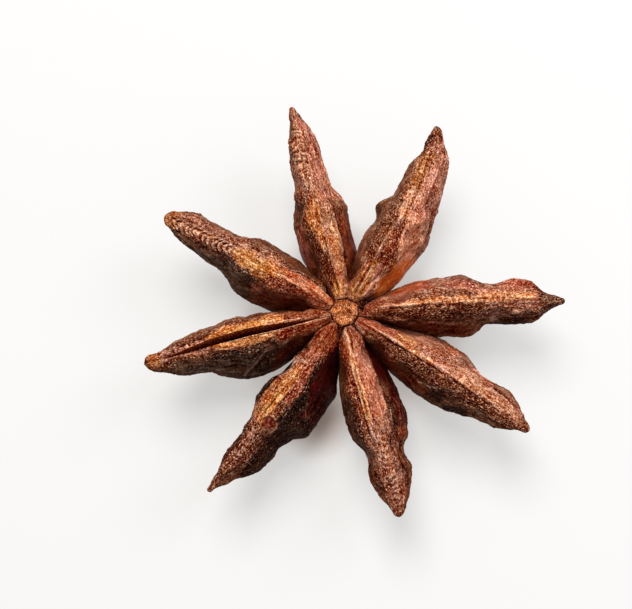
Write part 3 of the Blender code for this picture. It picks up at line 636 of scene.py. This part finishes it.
def pod_form(name, pod, along, down, side):
    """The pod's form without its fine relief, as (along, offset, height), the same relative to the
    pod's width and depth, the suture's offset and the share of the beak. along is a column of
    values, and down, from 0 at the suture to 1 at the keel, and side are rows."""
    beak = np.clip((along / pod.length - BEAK_START) / (1 - BEAK_START), 0, 1)
    root = 1 - ease(ROOT_FROM, ROOT_TO, along)
    depth = (1 - beak) * SECTION_DEPTH(down) + beak * (1 - np.cos(math.pi * down)) / 2
    section_width = (1 - root) * SECTION_WIDTH(down) + root * ROOT_WIDTH(down)
    width = (1 - beak) * section_width + beak * np.sin(math.pi * down)
    dome = np.clip((along - pod.length + pod.tip) / pod.tip, 0, 0.997)
    close = np.sqrt(1 - dome**2)
    left = outline_curve(pod, pod.left)(along)
    right = outline_curve(pod, pod.right)(along)
    middle, half_width = (left - right) / 2, close * (left + right) / 2
    crest, keel = crest_curve(pod)(along), keel_curve(pod)(along)
    centre, half_depth = (crest + keel) / 2, close * (crest - keel) / 2
    lean = np.where(
        depth < BELLY_DEPTH,
        1 - depth / BELLY_DEPTH,
        -KEEL_SWING * (depth - BELLY_DEPTH) / (1 - BELLY_DEPTH),
    )
    suture = suture_curve(pod)(along)
    across = middle + lean * (suture - middle) + side * half_width * width
    height = centre + half_depth * (1 - 2 * depth)
    calm = (1 - beak) * np.clip((along - ROOT_ALONG) / 2, 0, 1)
    start = math.radians(pod.azimuth)
    hump = np.where(down < BELLY_WAY, down / BELLY_WAY, (down - BELLY_WAY) / (1 - BELLY_WAY))
    for count, (size, length, slant) in enumerate(FLANK_WAVES, 3):
        turn = 2 * math.pi * (along / length + slant * down) + count * start + side
        across = across + side * calm * size * np.sin(math.pi * hump) ** 2 * np.sin(turn)
    size, length = CREST_WAVE
    height = height + calm * size * np.sin(2 * math.pi * along / length + start) * (1 - depth)

    # The crack opens by pushing its lips apart, and the flanks stay where they are.
    off_line = np.abs(across - suture)
    mouth = mouth_half_width(name, along) * np.minimum(1, 3 * half_width)
    across = across + side * mouth * hill(off_line, 0, 0.7) * (down < 0.6)
    along, across, height = np.broadcast_arrays(along, across, height)
    grid = np.stack([along, across, height], -1)
    widthwise = 2.3 * (across - middle) / half_width
    relative = np.stack(np.broadcast_arrays(along, widthwise, 5 * depth), -1)
    return grid, relative, suture, beak


def grid_normals(grid, inside):
    """Unit normals of a grid of points, pointing away from the points in the row's middle."""
    step_out = np.gradient(grid, axis=0)
    step_round = np.gradient(grid, axis=1)
    normal = np.cross(step_round, step_out)
    normal /= np.maximum(np.linalg.norm(normal, axis=-1, keepdims=True), 1e-9)
    outward = np.sign(np.sum(normal * (grid - inside), -1, keepdims=True))
    return normal * np.sign(np.sum(outward))


def stretch_weight(along, across, rows, soft):
    """1 inside a stretch given by (along, lowest offset, highest offset), fading out over soft."""
    at, low, high = np.array(rows, float).T
    inside = np.minimum(across - np.interp(along, at, low), np.interp(along, at, high) - across)
    ends = 0.5 * np.minimum(along - at[0], at[-1] - along)
    return ease(-soft, soft, np.minimum(inside, ends))


def line_weight(along, across, points, half_width):
    at, offset = np.array(points, float).T
    ends = ease(0, 0.5, along - at[0]) * ease(0, 0.5, at[-1] - along)
    return ends * hill(across, np.interp(along, at, offset), half_width)


def relief(name, pod, grid, relative, suture, beak, down):
    """The height of the fine relief over the pod's form, the part of it that is finer than lumps,
    and the part that is the cross-wrinkles over the suture."""
    seed = list(PODS).index(name) * 20 + 100
    along, across = grid[..., 0], grid[..., 1]
    off_line = np.abs(across - suture)
    shift = np.array([seed * 3.7, 0, 0])
    even, drawn_out = noise_of(grid + shift, seed), noise_of(relative + shift, seed)
    quiet = ease(0, 1.2, pod.length - along)
    flank = ease(0.22, 0.45, down)
    smooth_root = ease(0.3, 0.45, down) * (1 - ease(4.5, 7.5, along))

    lumps = 0.08 * even(1.3, 0) + 0.05 * even(0.7, 1)
    folds = 1 - 2.5 * np.abs(drawn_out((2.2, 0.40, 0.34), 2))
    creases = 2.5 * np.abs(drawn_out((1.3, 0.22, 0.20), 3)) - 0.8
    fibres = drawn_out((0.4, 0.12, 0.12), 11)
    streaks = 0.5 * folds + 0.4 * np.minimum(creases, 0.3) + 0.25 * fibres
    wrinkles = (0.05 + 0.06 * flank) * (1 - 0.6 * smooth_root) * streaks
    crumbs = 0.03 * ease(0.1, 0.55, even(0.32, 8) + 0.5 * even(0.17, 9))
    long_grid = grid * np.array([0.5, 1, 1])
    grain = 0.025 * noise_of(long_grid + shift, seed)(0.17, 4) + 0.015 * even(0.1, 5)
    grain = (grain + crumbs) * (1 - 0.6 * smooth_root)
    lips = 0.05 * hill(off_line, 0.18, 0.11) - 0.04 * hill(off_line, 0, 0.08)
    parted = ease(-0.3, 0.3, noise_of(grid[:, :1] + shift, seed)(0.9, 12))
    lips = lips * parted * (1 - beak) * (down < 0.4)

    first, last, line, half, size, reach = LADDERS[name]
    inside = ease(first - 0.4, first + 0.4, along) * (1 - ease(last - 0.4, last + 0.4, along))
    inside = inside * np.exp(-(((across - line) / half) ** 4)) * (down < 0.5)
    jitter = 0.24 * even(0.6, 6) + 0.09 * even(0.25, 7)
    size = size * (1 + 0.5 * even(0.5, 13))
    bow = reach * ((across - line) / half) ** 2
    rungs = np.sin(2 * math.pi * (along + jitter + bow) / LADDER_STEP)
    ladder = size * inside * np.abs(rungs) ** 0.6 * np.sign(rungs)

    fine = quiet * wrinkles + grain + lips + ladder
    upper = down < 0.7
    wavy = across + 0.03 * even(0.4, 10)
    for _, _, size, half_width, *points in LINES[name]:
        fine = fine + size * line_weight(along, wavy, points, half_width) * upper
    if name == SCAR_POD:
        distance = np.hypot(along - SCAR_ALONG, across - SCAR_OFFSET)
        rim = 0.08 * hill(distance, SCAR_RADIUS, 0.07)
        fine = fine + (rim - 0.06 * np.exp(-((distance / SCAR_RADIUS) ** 4))) * upper
    height = quiet * lumps + fine
    for bump_along, bump_across, radius, size in BUMPS[name]:
        distance = ((along - bump_along) ** 2 + (across - bump_across) ** 2) / radius**2
        height = height + size * np.exp(-distance) * upper
    return height, fine, ladder


def pod_colours(name, grid, relative, down, fine, ladder):
    """The skin's colour, and how glossy it is."""
    seed = list(PODS).index(name) * 20 + 1000
    along, across = grid[..., 0], grid[..., 1]
    even, drawn_out = noise_of(grid, seed), noise_of(relative, seed)
    mottle = 0.6 * drawn_out((1.1, 0.5, 0.5), 0) + 0.5 * even(0.35, 1)
    fibre = 0.5 * drawn_out((0.7, 0.18, 0.18), 8) + 0.5 * drawn_out((0.25, 0.10, 0.10), 9)
    speck = noise_of(grid * np.array([0.7, 1, 1]), seed)(0.11, 10)

    def mix(base, colour, amount):
        return base + (TINTS[colour] - base) * np.clip(amount, 0, 1)[..., None]

    # From the suture's band over the flank to the rough brown underside.
    tint = np.broadcast_to(TINTS["mauve"], grid.shape)
    tint = mix(tint, "umber", ease(0.3, 0.45, down + 0.05 * mottle))
    ragged_along = along + 0.3 * even(0.7, 2) + 0.2 * even(0.25, 3)
    ragged_across = across + 0.1 * even(0.5, 4) + 0.08 * even(0.2, 5)
    upper = 1 - ease(0.7, 0.85, down)
    for colour, strength, *rows in PATCHES[name]:
        if rows:
            stretch = stretch_weight(ragged_along, ragged_across, rows, PATCH_SOFTNESS)
        tint = mix(tint, colour, strength * upper * stretch * (1 + 0.4 * fibre))
    # Lines: pale ridges, partly painted highlight, and dark creases, partly painted shade.
    wavy = across + 0.03 * even(0.4, 6)
    broken = ease(-0.5, 0.1, even(0.45, 7))
    for colour, strength, _, half_width, *points in LINES[name]:
        weight = line_weight(along, wavy, points, half_width)
        tint = mix(tint, colour, strength * upper * broken * weight)
    tint = mix(tint, "brown", ease(0.75, 0.95, down + 0.06 * mottle))
    if name == SCAR_POD:
        distance = np.hypot(along - SCAR_ALONG, across - SCAR_OFFSET) / SCAR_RADIUS
        tint = mix(tint, "scar", 0.65 * (1 - ease(0.8, 1.0, distance)) * upper)
        tint = mix(tint, "black", 0.6 * hill(distance, 0.88, 0.1) * upper)
        tint = mix(tint, "pale", 0.7 * hill(distance, 1.14, 0.1) * upper)

    # The flanks' roots are glossy, and dark flanks, the pod's root and the two smooth patches are
    # calmer than the rest.
    hue = drawn_out((0.6, 0.3, 0.3), 11)
    light = screen(np.clip(tint * (1 + hue[..., None] * HUE_STEP), 0, 1))
    dark_flank = ease(0.33, 0.5, down) * (1 - ease(0.42, 0.54, light[..., 0]))
    not_keel = 1 - ease(0.7, 0.9, down)
    gloss = ease(0.28, 0.45, down) * (1 - ease(4.5, 7.5, along)) * not_keel
    gloss = np.maximum(gloss, CALM_GLOSS * np.maximum(dark_flank, ease(0.7, 0.8, down)))
    gloss = np.maximum(gloss, 0.7 * CALM_GLOSS * (1 - ease(2.5, 5.5, along)))
    if name == CALM_POD:
        calm = stretch_weight(ragged_along, ragged_across, CALM_ROWS, CALM_SOFTNESS)
        gloss = np.maximum(gloss, 0.7 * CALM_GLOSS * calm * upper)
    if name == SCAR_POD:
        gloss = np.maximum(gloss, 0.8 * (1 - ease(0.7, 1.0, distance)) * upper)

    # Hollows of the relief and between the cross-wrinkles are painted dark as painted shade, and
    # the tops of the grain pale, partly worn and partly painted highlight, and dusty.
    wear_and_relief_shade = np.clip(8 * fine, -0.75, 0.7) + 0.25 * mottle + 0.3 * fibre
    wear_and_relief_shade = wear_and_relief_shade * (0.07 + 0.12 * ease(0.1, 0.5, light[..., 0]))
    dust = 0.06 * fibre + 0.07 * speck + 0.05 * even((0.13, 0.4, 0.4), 12)
    dust = dust * (1 - 0.7 * gloss)
    light = light + (wear_and_relief_shade + dust + 0.6 * ladder)[..., None] * WEAR_AND_SHADE_STEP
    ashen = dark_flank * not_keel * ease(4.5, 7.5, along)
    light = light + ashen[..., None] * ASHEN_STEP
    return linear(np.clip(light, 0.02, 1)), gloss


def pocket(name, pod, along, first_lip, last_lip):
    """The walls inside the crack, from the right lip down to its bottom and up to the left lip."""
    split = name == SPLIT_POD
    mouth = np.abs(last_lip[:, 1:2] - first_lip[:, 1:2]) / 2
    line = (last_lip[:, 1:2] + first_lip[:, 1:2]) / 2
    top = (last_lip[:, 2:3] + first_lip[:, 2:3]) / 2
    size = np.minimum(1, (pod.length - along) / 1.5 + 0.15)
    if split:
        steps = np.linspace(0, 1, OPEN_POCKET_SIDES + 1)[1:]
        reach = np.clip((along - HOLLOW_ALONG) / HOLLOW_RADII[0], -1, 1)
        swell = np.sqrt(1 - reach**2)
        floor = HOLLOW_HEIGHT - HOLLOW_RADII[2] * swell
        roof = HOLLOW_HEIGHT + HOLLOW_RADII[2] * swell
        opened = ease(0.0, 0.5, swell)
        slot_share = np.clip((along - SLIT_FROM) / (SLIT_TO - SLIT_FROM), 0, 1)
        slot = size * (0.16 + 1.1 * np.sin(math.pi * slot_share) ** 0.7)
        full_depth = slot + (np.maximum(top - floor, slot) - slot) * opened
        neck = np.minimum(top - roof, 0.9 * full_depth)
        bulge = 0.9 * HOLLOW_RADII[1] * swell * opened
    else:
        steps = np.linspace(0, 1, CLOSED_POCKET_SIDES + 2)[1:-1]
        full_depth = 0.13 * size
        neck = full_depth
        bulge = 0 * along
    share = (1 - np.cos(math.pi * steps)) / 2
    depth = full_depth * share[None, :]
    inner = np.clip((depth - neck) / np.maximum(full_depth - neck, 1e-3), 0, 1)
    half = mouth * (1 - 0.35 * share) + bulge * np.sin(math.pi * inner) ** 0.8
    half[:, -1:] = half[:, -1:] * 0.2 + 0.002
    lean = SLIT_LEAN * ease(0, 1.2, depth) * mouth / SLIT_HALF_WIDTH if split else 0
    centre = line + lean
    if split:
        centre = centre + (HOLLOW_ACROSS - centre) * ease(0, 0.3, inner)
    along_grid = np.broadcast_to(along, depth.shape)
    right = np.stack([along_grid, centre - half, top - depth], -1)
    left = np.stack([along_grid, centre + half, top - depth], -1)
    return np.concatenate([right, left[:, ::-1]], 1)


def to_world(pod, local):
    angle = math.radians(pod.azimuth)
    along, across, height = np.moveaxis(local, -1, 0)
    x = COLUMN_X + along * math.cos(angle) - across * math.sin(angle)
    y = COLUMN_Y + along * math.sin(angle) + across * math.cos(angle)
    return np.stack([x, y, np.maximum(height, 0.0)], -1)


def ring_mesh(name, rings, tint, gloss, grain_place):
    """A closed smooth mesh through rings of points, with its colours and gloss and, for the grain,
    each point's place."""
    count, sides = rings.shape[:2]
    ends = np.stack([rings[0].mean(0), rings[-1].mean(0)])
    points = np.concatenate([rings.reshape(-1, 3), ends]) * MM
    i = np.arange(count - 1)[:, None] * sides
    j = np.arange(sides)[None, :]
    k = (j + 1) % sides
    quads = np.stack([i + j, i + k, i + sides + k, i + sides + j], -1).reshape(-1, 4)
    first_end, last_end = len(points) - 2, len(points) - 1
    j, k = j[0], k[0]
    base = (count - 1) * sides
    first_fan = np.stack([k, j, np.full(sides, first_end)], -1)
    last_fan = np.stack([base + j, base + k, np.full(sides, last_end)], -1)
    corners = np.concatenate([quads.ravel(), first_fan.ravel(), last_fan.ravel()])
    sizes = np.concatenate([np.full(len(quads), 4), np.full(2 * sides, 3)])

    mesh = bpy.data.meshes.new(name)
    mesh.vertices.add(len(points))
    mesh.vertices.foreach_set("co", points.ravel())
    mesh.loops.add(len(corners))
    mesh.loops.foreach_set("vertex_index", corners)
    mesh.polygons.add(len(sizes))
    mesh.polygons.foreach_set("loop_start", np.concatenate([[0], np.cumsum(sizes)[:-1]]))
    mesh.polygons.foreach_set("use_smooth", np.ones(len(sizes), bool))
    mesh.update(calc_edges=True)

    tint = np.concatenate([tint.reshape(-1, 3), tint[0].mean(0)[None], tint[-1].mean(0)[None]])
    rgba = np.concatenate([tint, np.ones((len(tint), 1))], -1)
    mesh.attributes.new("tint", "FLOAT_COLOR", "POINT").data.foreach_set("color", rgba.ravel())
    gloss = np.concatenate([gloss.ravel(), [0, 0]])
    mesh.attributes.new("gloss", "FLOAT", "POINT").data.foreach_set("value", gloss)
    places = np.concatenate([grain_place.reshape(-1, 3), grain_place[0, :1], grain_place[-1, :1]])
    grain = mesh.attributes.new("grain_place", "FLOAT_VECTOR", "POINT")
    grain.data.foreach_set("vector", places.ravel())
    return mesh


def add_object(name, data):
    thing = bpy.data.objects.new(name, data)
    bpy.context.scene.collection.objects.link(thing)
    return thing


def add_piece(name, mesh, material, node):
    piece = add_object(name, mesh)
    mesh.materials.append(material)
    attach(piece, "root")
    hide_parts(node)


def make_pod(name, pod, material):
    body = np.linspace(ROOT_ALONG, pod.length - pod.tip, STATIONS)
    dome = pod.length - pod.tip * (1 - np.sin(np.linspace(0, math.pi / 2, DOME_STATIONS + 1)[1:]))
    along = np.concatenate([body, dome])[:, None]
    half = smooth_curve(SIDE_SPREAD)(np.linspace(0, 1, HALF_SIDES))
    down = np.concatenate([half, half[-2::-1]])[None, :]
    side = np.concatenate([np.ones(HALF_SIDES), -np.ones(HALF_SIDES - 1)])[None, :]

    grid, relative, suture, beak = pod_form(name, pod, along, down, side)
    inside = grid.mean(1, keepdims=True)
    normal = grid_normals(grid, inside)
    height, fine, ladder = relief(name, pod, grid, relative, suture, beak, down)
    tint, gloss = pod_colours(name, grid, relative, down, fine, ladder)
    settle = ease(0, 0.5, pod.length - along)
    skin = grid + normal * ((height - SINK) * (0.3 + 0.7 * settle))[..., None]

    walls = pocket(name, pod, along, skin[:, -1], skin[:, 0])
    # Painted light and shade in the crack: the right wall is painted lit and the left dim at the
    # lip, and both darken below it to a painted shade.
    below_lip = skin[:, :1, 2] - walls[..., 2]
    right_wall = np.arange(walls.shape[1]) < walls.shape[1] // 2
    shade = ease(0.0, np.where(right_wall, 0.9, 0.5), below_lip)[..., None]
    lit_or_dim_lip = np.where(right_wall[:, None], TINTS["lit_lip"], TINTS["dim_lip"])
    painted_wall_shading = lit_or_dim_lip * (1 - shade) + TINTS["painted_crack_shade"] * shade
    rings = np.concatenate([skin, walls], 1)
    tint = np.concatenate([tint, painted_wall_shading], 1)
    gloss = np.concatenate([gloss, np.zeros(walls.shape[:2])], 1)
    grain_place = rings * np.array([GRAIN_STRETCH, 1, 1]) + pod.azimuth
    mesh = ring_mesh("pod_" + name, to_world(pod, rings), tint, gloss, grain_place)
    add_piece("pod_" + name, mesh, material, "fruit")


def make_column(material):
    """The rough cap, the crack round it, the core and the stub of the stalk."""
    crack = CAP_HEIGHT - RING_DEPTH
    profile = (
        (0.02, CAP_HEIGHT + 0.02),
        (0.5 * CAP_RADIUS, CAP_HEIGHT - 0.01),
        (0.9 * CAP_RADIUS, CAP_HEIGHT - 0.04),
        (CAP_RADIUS, CAP_HEIGHT - 0.12),
        (0.98 * CAP_RADIUS, crack),
        (1.2 * CAP_RADIUS, crack - 0.1),
        (CORE_RADIUS, CORE_TOP),
        (CORE_RADIUS, CORE_BOTTOM + 0.4),
        (1.25 * STALK_RADIUS, CORE_BOTTOM),
        (STALK_RADIUS, CORE_BOTTOM - 0.35),
        (0.95 * STALK_RADIUS, STALK_BOTTOM + 0.06),
        (0.8 * STALK_RADIUS, STALK_BOTTOM),
        (0.4 * STALK_RADIUS, STALK_BOTTOM + 0.08),
        (0.02, STALK_BOTTOM + 0.1),
    )
    radii, heights = np.array(profile).T
    lengths = np.hypot(np.diff(radii), np.diff(heights))
    way = np.concatenate([[0], np.cumsum(lengths)])
    fine = np.arange(0, way[-1], COLUMN_STEP)
    radius = np.interp(fine, way, radii)[:, None]
    height = np.interp(fine, way, heights)[:, None]
    turn = np.linspace(0, 2 * math.pi, COLUMN_SIDES, endpoint=False)[None, :]
    azimuths = np.radians([pod.azimuth for pod in PODS.values()])
    off_pod = np.abs((turn[..., None] - azimuths + math.pi) % (2 * math.pi) - math.pi).min(-1)
    unit = np.stack([np.cos(turn), np.sin(turn)], -1) / np.cos(off_pod)[..., None]
    around = np.stack([np.cos(turn), np.sin(turn), 0 * turn], -1)
    rim = 0.6 * noise(1.4 * around, 0.8, 7) + 0.5 * noise(1.4 * around, 0.33, 12)
    level = np.broadcast_to(height, (len(fine), turn.size))
    rings = np.concatenate([radius[..., None] * unit, level[..., None]], -1)
    cap = 1 - ease(0.1, 0.3, CAP_HEIGHT - rings[..., 2])
    wobble = 1 + 0.07 * rim * np.clip(radius / CAP_RADIUS, 0, 1)
    rough = 0.09 * noise(rings, 0.33, 8) + 0.05 * noise(rings, 0.16, 9)
    rings = rings * np.stack([wobble, wobble, np.ones_like(wobble)], -1)
    rings[..., 2] += rough * (0.3 + 0.7 * cap)
    mottle = noise(rings, 0.4, 10) + 0.5 * noise(rings, 0.15, 11)
    tint = TINTS["crack"] + (TINTS["cap"] - TINTS["crack"]) * cap[..., None]
    tint = np.where((rings[..., 2] < CORE_BOTTOM)[..., None], TINTS["stub"], tint)
    pits = ease(0.15, 0.5, noise(rings, 0.19, 13) + 0.4 * noise(rings, 0.1, 14)) * cap
    tint = tint * np.clip(1 + 0.25 * mottle + 5 * rough - 0.55 * pits, 0.3, 1.6)[..., None]
    tint = linear(np.clip(screen(tint) + 0.08 * mottle[..., None] * cap[..., None], 0.02, 1))
    rings = rings + np.array([COLUMN_X, COLUMN_Y, 0])
    mesh = ring_mesh("column", rings, tint, np.zeros(rings.shape[:2]), rings)
    add_piece("column", mesh, material, "fruit")


def make_seed(material):
    """A glossy flattened egg with a pale scar at the end nearer the column."""
    share = np.linspace(0.02, 0.98, SEED_RINGS)[:, None]
    turn = np.linspace(0, 2 * math.pi, SEED_SIDES, endpoint=False)[None, :]
    reach = -np.cos(math.pi * share)
    swell = np.sin(math.pi * share) * (1 - SEED_NARROWING * reach)
    along = HOLLOW_ALONG + SEED_RADII[0] * reach + 0 * turn
    across = HOLLOW_ACROSS + SEED_RADII[1] * swell * np.cos(turn)
    height = SEED_HEIGHT + SEED_RADII[2] * swell * np.sin(turn)
    local = np.stack([along, across, height], -1)
    wear = noise(local, 0.6, 21)
    scar = 1 - ease(0.02, 0.08, share) + 0 * turn
    tint = TINTS["coat"] + (TINTS["eye"] - TINTS["coat"]) * scar[..., None]
    tint = tint * (1 + 0.2 * wear)[..., None]
    mesh = ring_mesh("seed_coat", to_world(PODS[SPLIT_POD], local), tint, 1 - scar, local)
    add_piece("seed_coat", mesh, material, "seed")


class Skin:
    """A new material with its shader. In the nodes that it adds, a value is a number, a colour or
    another node's output."""

    def __init__(self, name):
        self.material = bpy.data.materials.new(name)
        self.material.use_nodes = True
        self.tree = self.material.node_tree
        self.shader = self.tree.nodes["Principled BSDF"]

    def feed(self, node, values):
        for key, value in values.items():
            if isinstance(value, bpy.types.NodeSocket):
                self.tree.links.new(value, node.inputs[key])
            else:
                node.inputs[key].default_value = value

    def add(self, kind, values):
        node = self.tree.nodes.new("ShaderNode" + kind)
        self.feed(node, values)
        return node

    def painted(self, name, output):
        node = self.add("Attribute", {})
        node.attribute_name = name
        return node.outputs[output]

    def noise(self, place, size, detail, roughness):
        values = {"Vector": place, "Scale": 1 / size, "Detail": detail, "Roughness": roughness}
        return self.add("TexNoise", values).outputs["Fac"]

    def remap(self, value, low, high, to_low, to_high):
        values = {"From Min": low, "From Max": high, "To Min": to_low, "To Max": to_high}
        return self.add("MapRange", {"Value": value, **values}).outputs["Result"]

    def join(self, operation, first, second):
        node = self.add("Math", {0: first, 1: second})
        node.operation = operation
        return node.outputs["Value"]

    def join_vectors(self, operation, first, second):
        node = self.add("VectorMath", {0: first, 1: second})
        node.operation = operation
        return node.outputs["Value" if operation == "DISTANCE" else "Vector"]

    def blend(self, share, first, second):
        node = self.add("Mix", {})
        node.data_type = "RGBA"
        self.feed(node, {"Factor": share, "A": first, "B": second})
        return node.outputs["Result"]

    def power(self, colour, power):
        return self.add("Gamma", {"Color": colour, "Gamma": power}).outputs["Color"]


def husk_material():
    """Dry woody skin: the painted tint broken up by grain, pits and pale flecks."""
    skin = Skin("husk_skin")
    place = skin.painted("grain_place", "Vector")

    def noise_at(size, detail):
        return skin.noise(place, size, detail, GRAIN_ROUGHNESS)

    remap, join, join_vectors = skin.remap, skin.join, skin.join_vectors
    gloss = skin.painted("gloss", "Fac")
    grain = noise_at(GRAIN_SIZE, 0)
    cells = skin.add("TexVoronoi", {"Vector": place, "Scale": 1 / CELL_SIZE}).outputs["Distance"]
    threads = noise_at(THREAD_SIZE, 3)

    # The grain is worn lighter or darker by the same step of screen value in every channel. Dark
    # parts keep less of it, and have bright specks instead.
    painted = skin.power(skin.painted("tint", "Color"), 1 / SCREEN_POWER)
    calm = remap(gloss, 0, CALM_GLOSS, 1, 0.5)
    shine = remap(gloss, CALM_GLOSS, 1, 0, 1)
    step = join("ADD", remap(grain, 0.25, 0.75, -0.21, 0.21), remap(cells, 0.1, 0.75, 0.06, -0.10))
    step = join("ADD", step, remap(threads, 0.35, 0.65, -0.05, 0.05))
    step = join("MULTIPLY", step, remap(painted, 0.15, 0.5, 0.75, 1))
    specks = join("MULTIPLY", remap(grain, 0.6, 0.8, 0, 0.3), remap(painted, 0.2, 0.45, 1, 0))
    flecks = remap(noise_at(FLECK_SIZE, 1), 0.66, 0.72, 0, 0.13)
    step = join("MULTIPLY", join("ADD", join("ADD", step, specks), flecks), calm)

    light = join_vectors("MULTIPLY", painted, DARK_GAIN)
    light = join_vectors("ADD", join_vectors("SUBTRACT", light, DARK_LOSS), step)
    colour = skin.power(join_vectors("MAXIMUM", light, LEAST_LIGHT), SCREEN_POWER)
    rough = join("SUBTRACT", remap(grain, 0.3, 0.7, 0.65, 0.85), remap(shine, 0, 1, 0, 0.3))
    height = join("SUBTRACT", noise_at(BUMP_SIZE, 4), remap(cells, 0, 1, 0, 0.6))
    bump = skin.add("Bump", {"Strength": 1, "Distance": BUMP_HEIGHT * MM, "Height": height})
    skin.feed(skin.shader, {
        "Base Color": colour,
        "Roughness": rough,
        "Specular IOR Level": remap(shine, 0, 1, 0.03, 0.15),
        "Normal": bump.outputs["Normal"],
    })
    return skin.material


def seed_material():
    """A smooth hard coat whose brown comes and goes in soft clouds."""
    skin = Skin("seed_gloss")
    place = skin.add("TexCoord", {}).outputs["Object"]
    cloud = skin.remap(skin.noise(place, SEED_CLOUD * MM, 2, 0.5), 0, 1, 0.7, 1.3)
    tint = skin.add("HueSaturation", {"Color": skin.painted("tint", "Color"), "Value": cloud})
    skin.feed(skin.shader, {
        "Base Color": tint.outputs["Color"],
        "Roughness": SEED_ROUGHNESS,
        "Coat Weight": SEED_COAT,
    })
    return skin.material


def floor_material():
    """Paper that glows as if lit all round, with painted shade, less and warmer, under the fruit.
    """
    skin = Skin("paper")
    # Painted shade: the glow is less where ambient occlusion finds the fruit close by.
    openness = skin.add("AmbientOcclusion", {"Distance": SHADE_REACH * MM}).outputs["AO"]
    glow = skin.remap(openness, 0, 0.6, 0.6, 1)
    # The darkest painted shadow lies at a fixed place under the south-west pod's flank, beside the
    # south pod.
    place = skin.add("TexCoord", {}).outputs["Object"]
    shadow_spot_place = (SHADOW_SPOT_PLACE[0] * MM, SHADOW_SPOT_PLACE[1] * MM, 0)
    reach = skin.join_vectors("DISTANCE", place, shadow_spot_place)
    shadow_spot = skin.remap(reach, SHADOW_SPOT_FROM * MM, SHADOW_SPOT_TO * MM, SHADOW_SPOT_LIGHT, 1)
    shadow_spot.node.interpolation_type = "SMOOTHSTEP"
    open_share = skin.join("MULTIPLY", glow, shadow_spot)
    shade = skin.remap(open_share, 0.1, 1, 0, 1)
    skin.feed(skin.shader, {
        "Base Color": skin.blend(shade, PAPER_SHADED, PAPER_OPEN),
        "Roughness": PAPER_ROUGHNESS,
        "Specular IOR Level": PAPER_SPECULAR,
        "Emission Color": skin.blend(shade, GLOW_SHADED, GLOW_OPEN),
        "Emission Strength": skin.join("MULTIPLY", open_share, GLOW_STRENGTH),
    })
    return skin.material


def make_floor():
    half = PAPER_HALF
    mesh = bpy.data.meshes.new("floor")
    corners = [(-half, -half, 0), (half, -half, 0), (half, half, 0), (-half, half, 0)]
    mesh.from_pydata(corners, [], [(0, 1, 2, 3)])
    mesh.materials.append(floor_material())
    add_object("floor", mesh)


def add_light(name, place, power, size, colour):
    light = bpy.data.lights.new(name, "AREA")
    light.shape = "DISK"
    light.energy = power
    light.size = size
    light.color = colour
    lamp = add_object(name, light)
    lamp.location = place
    lamp.rotation_euler = (-lamp.location).to_track_quat("-Z", "Y").to_euler()


def make_lights():
    world = bpy.data.worlds.new("studio")
    world.use_nodes = True
    background = world.node_tree.nodes["Background"]
    background.inputs["Color"].default_value = WORLD_COLOUR
    background.inputs["Strength"].default_value = WORLD_STRENGTH
    bpy.context.scene.world = world
    for light in LIGHTS:
        add_light(*light)


def make_camera():
    """The photo's view: from above, leaning a little to the front, through a long lens."""
    elevation = math.radians(CAMERA_ELEVATION)
    back = np.array([0, -math.cos(elevation), math.sin(elevation)])
    data = bpy.data.cameras.new("camera")
    data.lens = CAMERA_LENS
    data.sensor_width = CAMERA_SENSOR
    data.clip_start = CAMERA_CLIP
    camera = add_object("camera", data)
    camera.location = (np.array(CAMERA_TARGET) + back * CAMERA_DISTANCE) * MM
    camera.rotation_euler = (math.pi / 2 - elevation, 0, 0)
    bpy.context.scene.camera = camera


husk = husk_material()
for pod_name, pod_sizes in PODS.items():
    make_pod(pod_name, pod_sizes, husk)
make_column(husk)
make_seed(seed_material())
make_floor()
make_lights()
make_camera()
bpy.context.scene.view_settings.view_transform = "Standard"
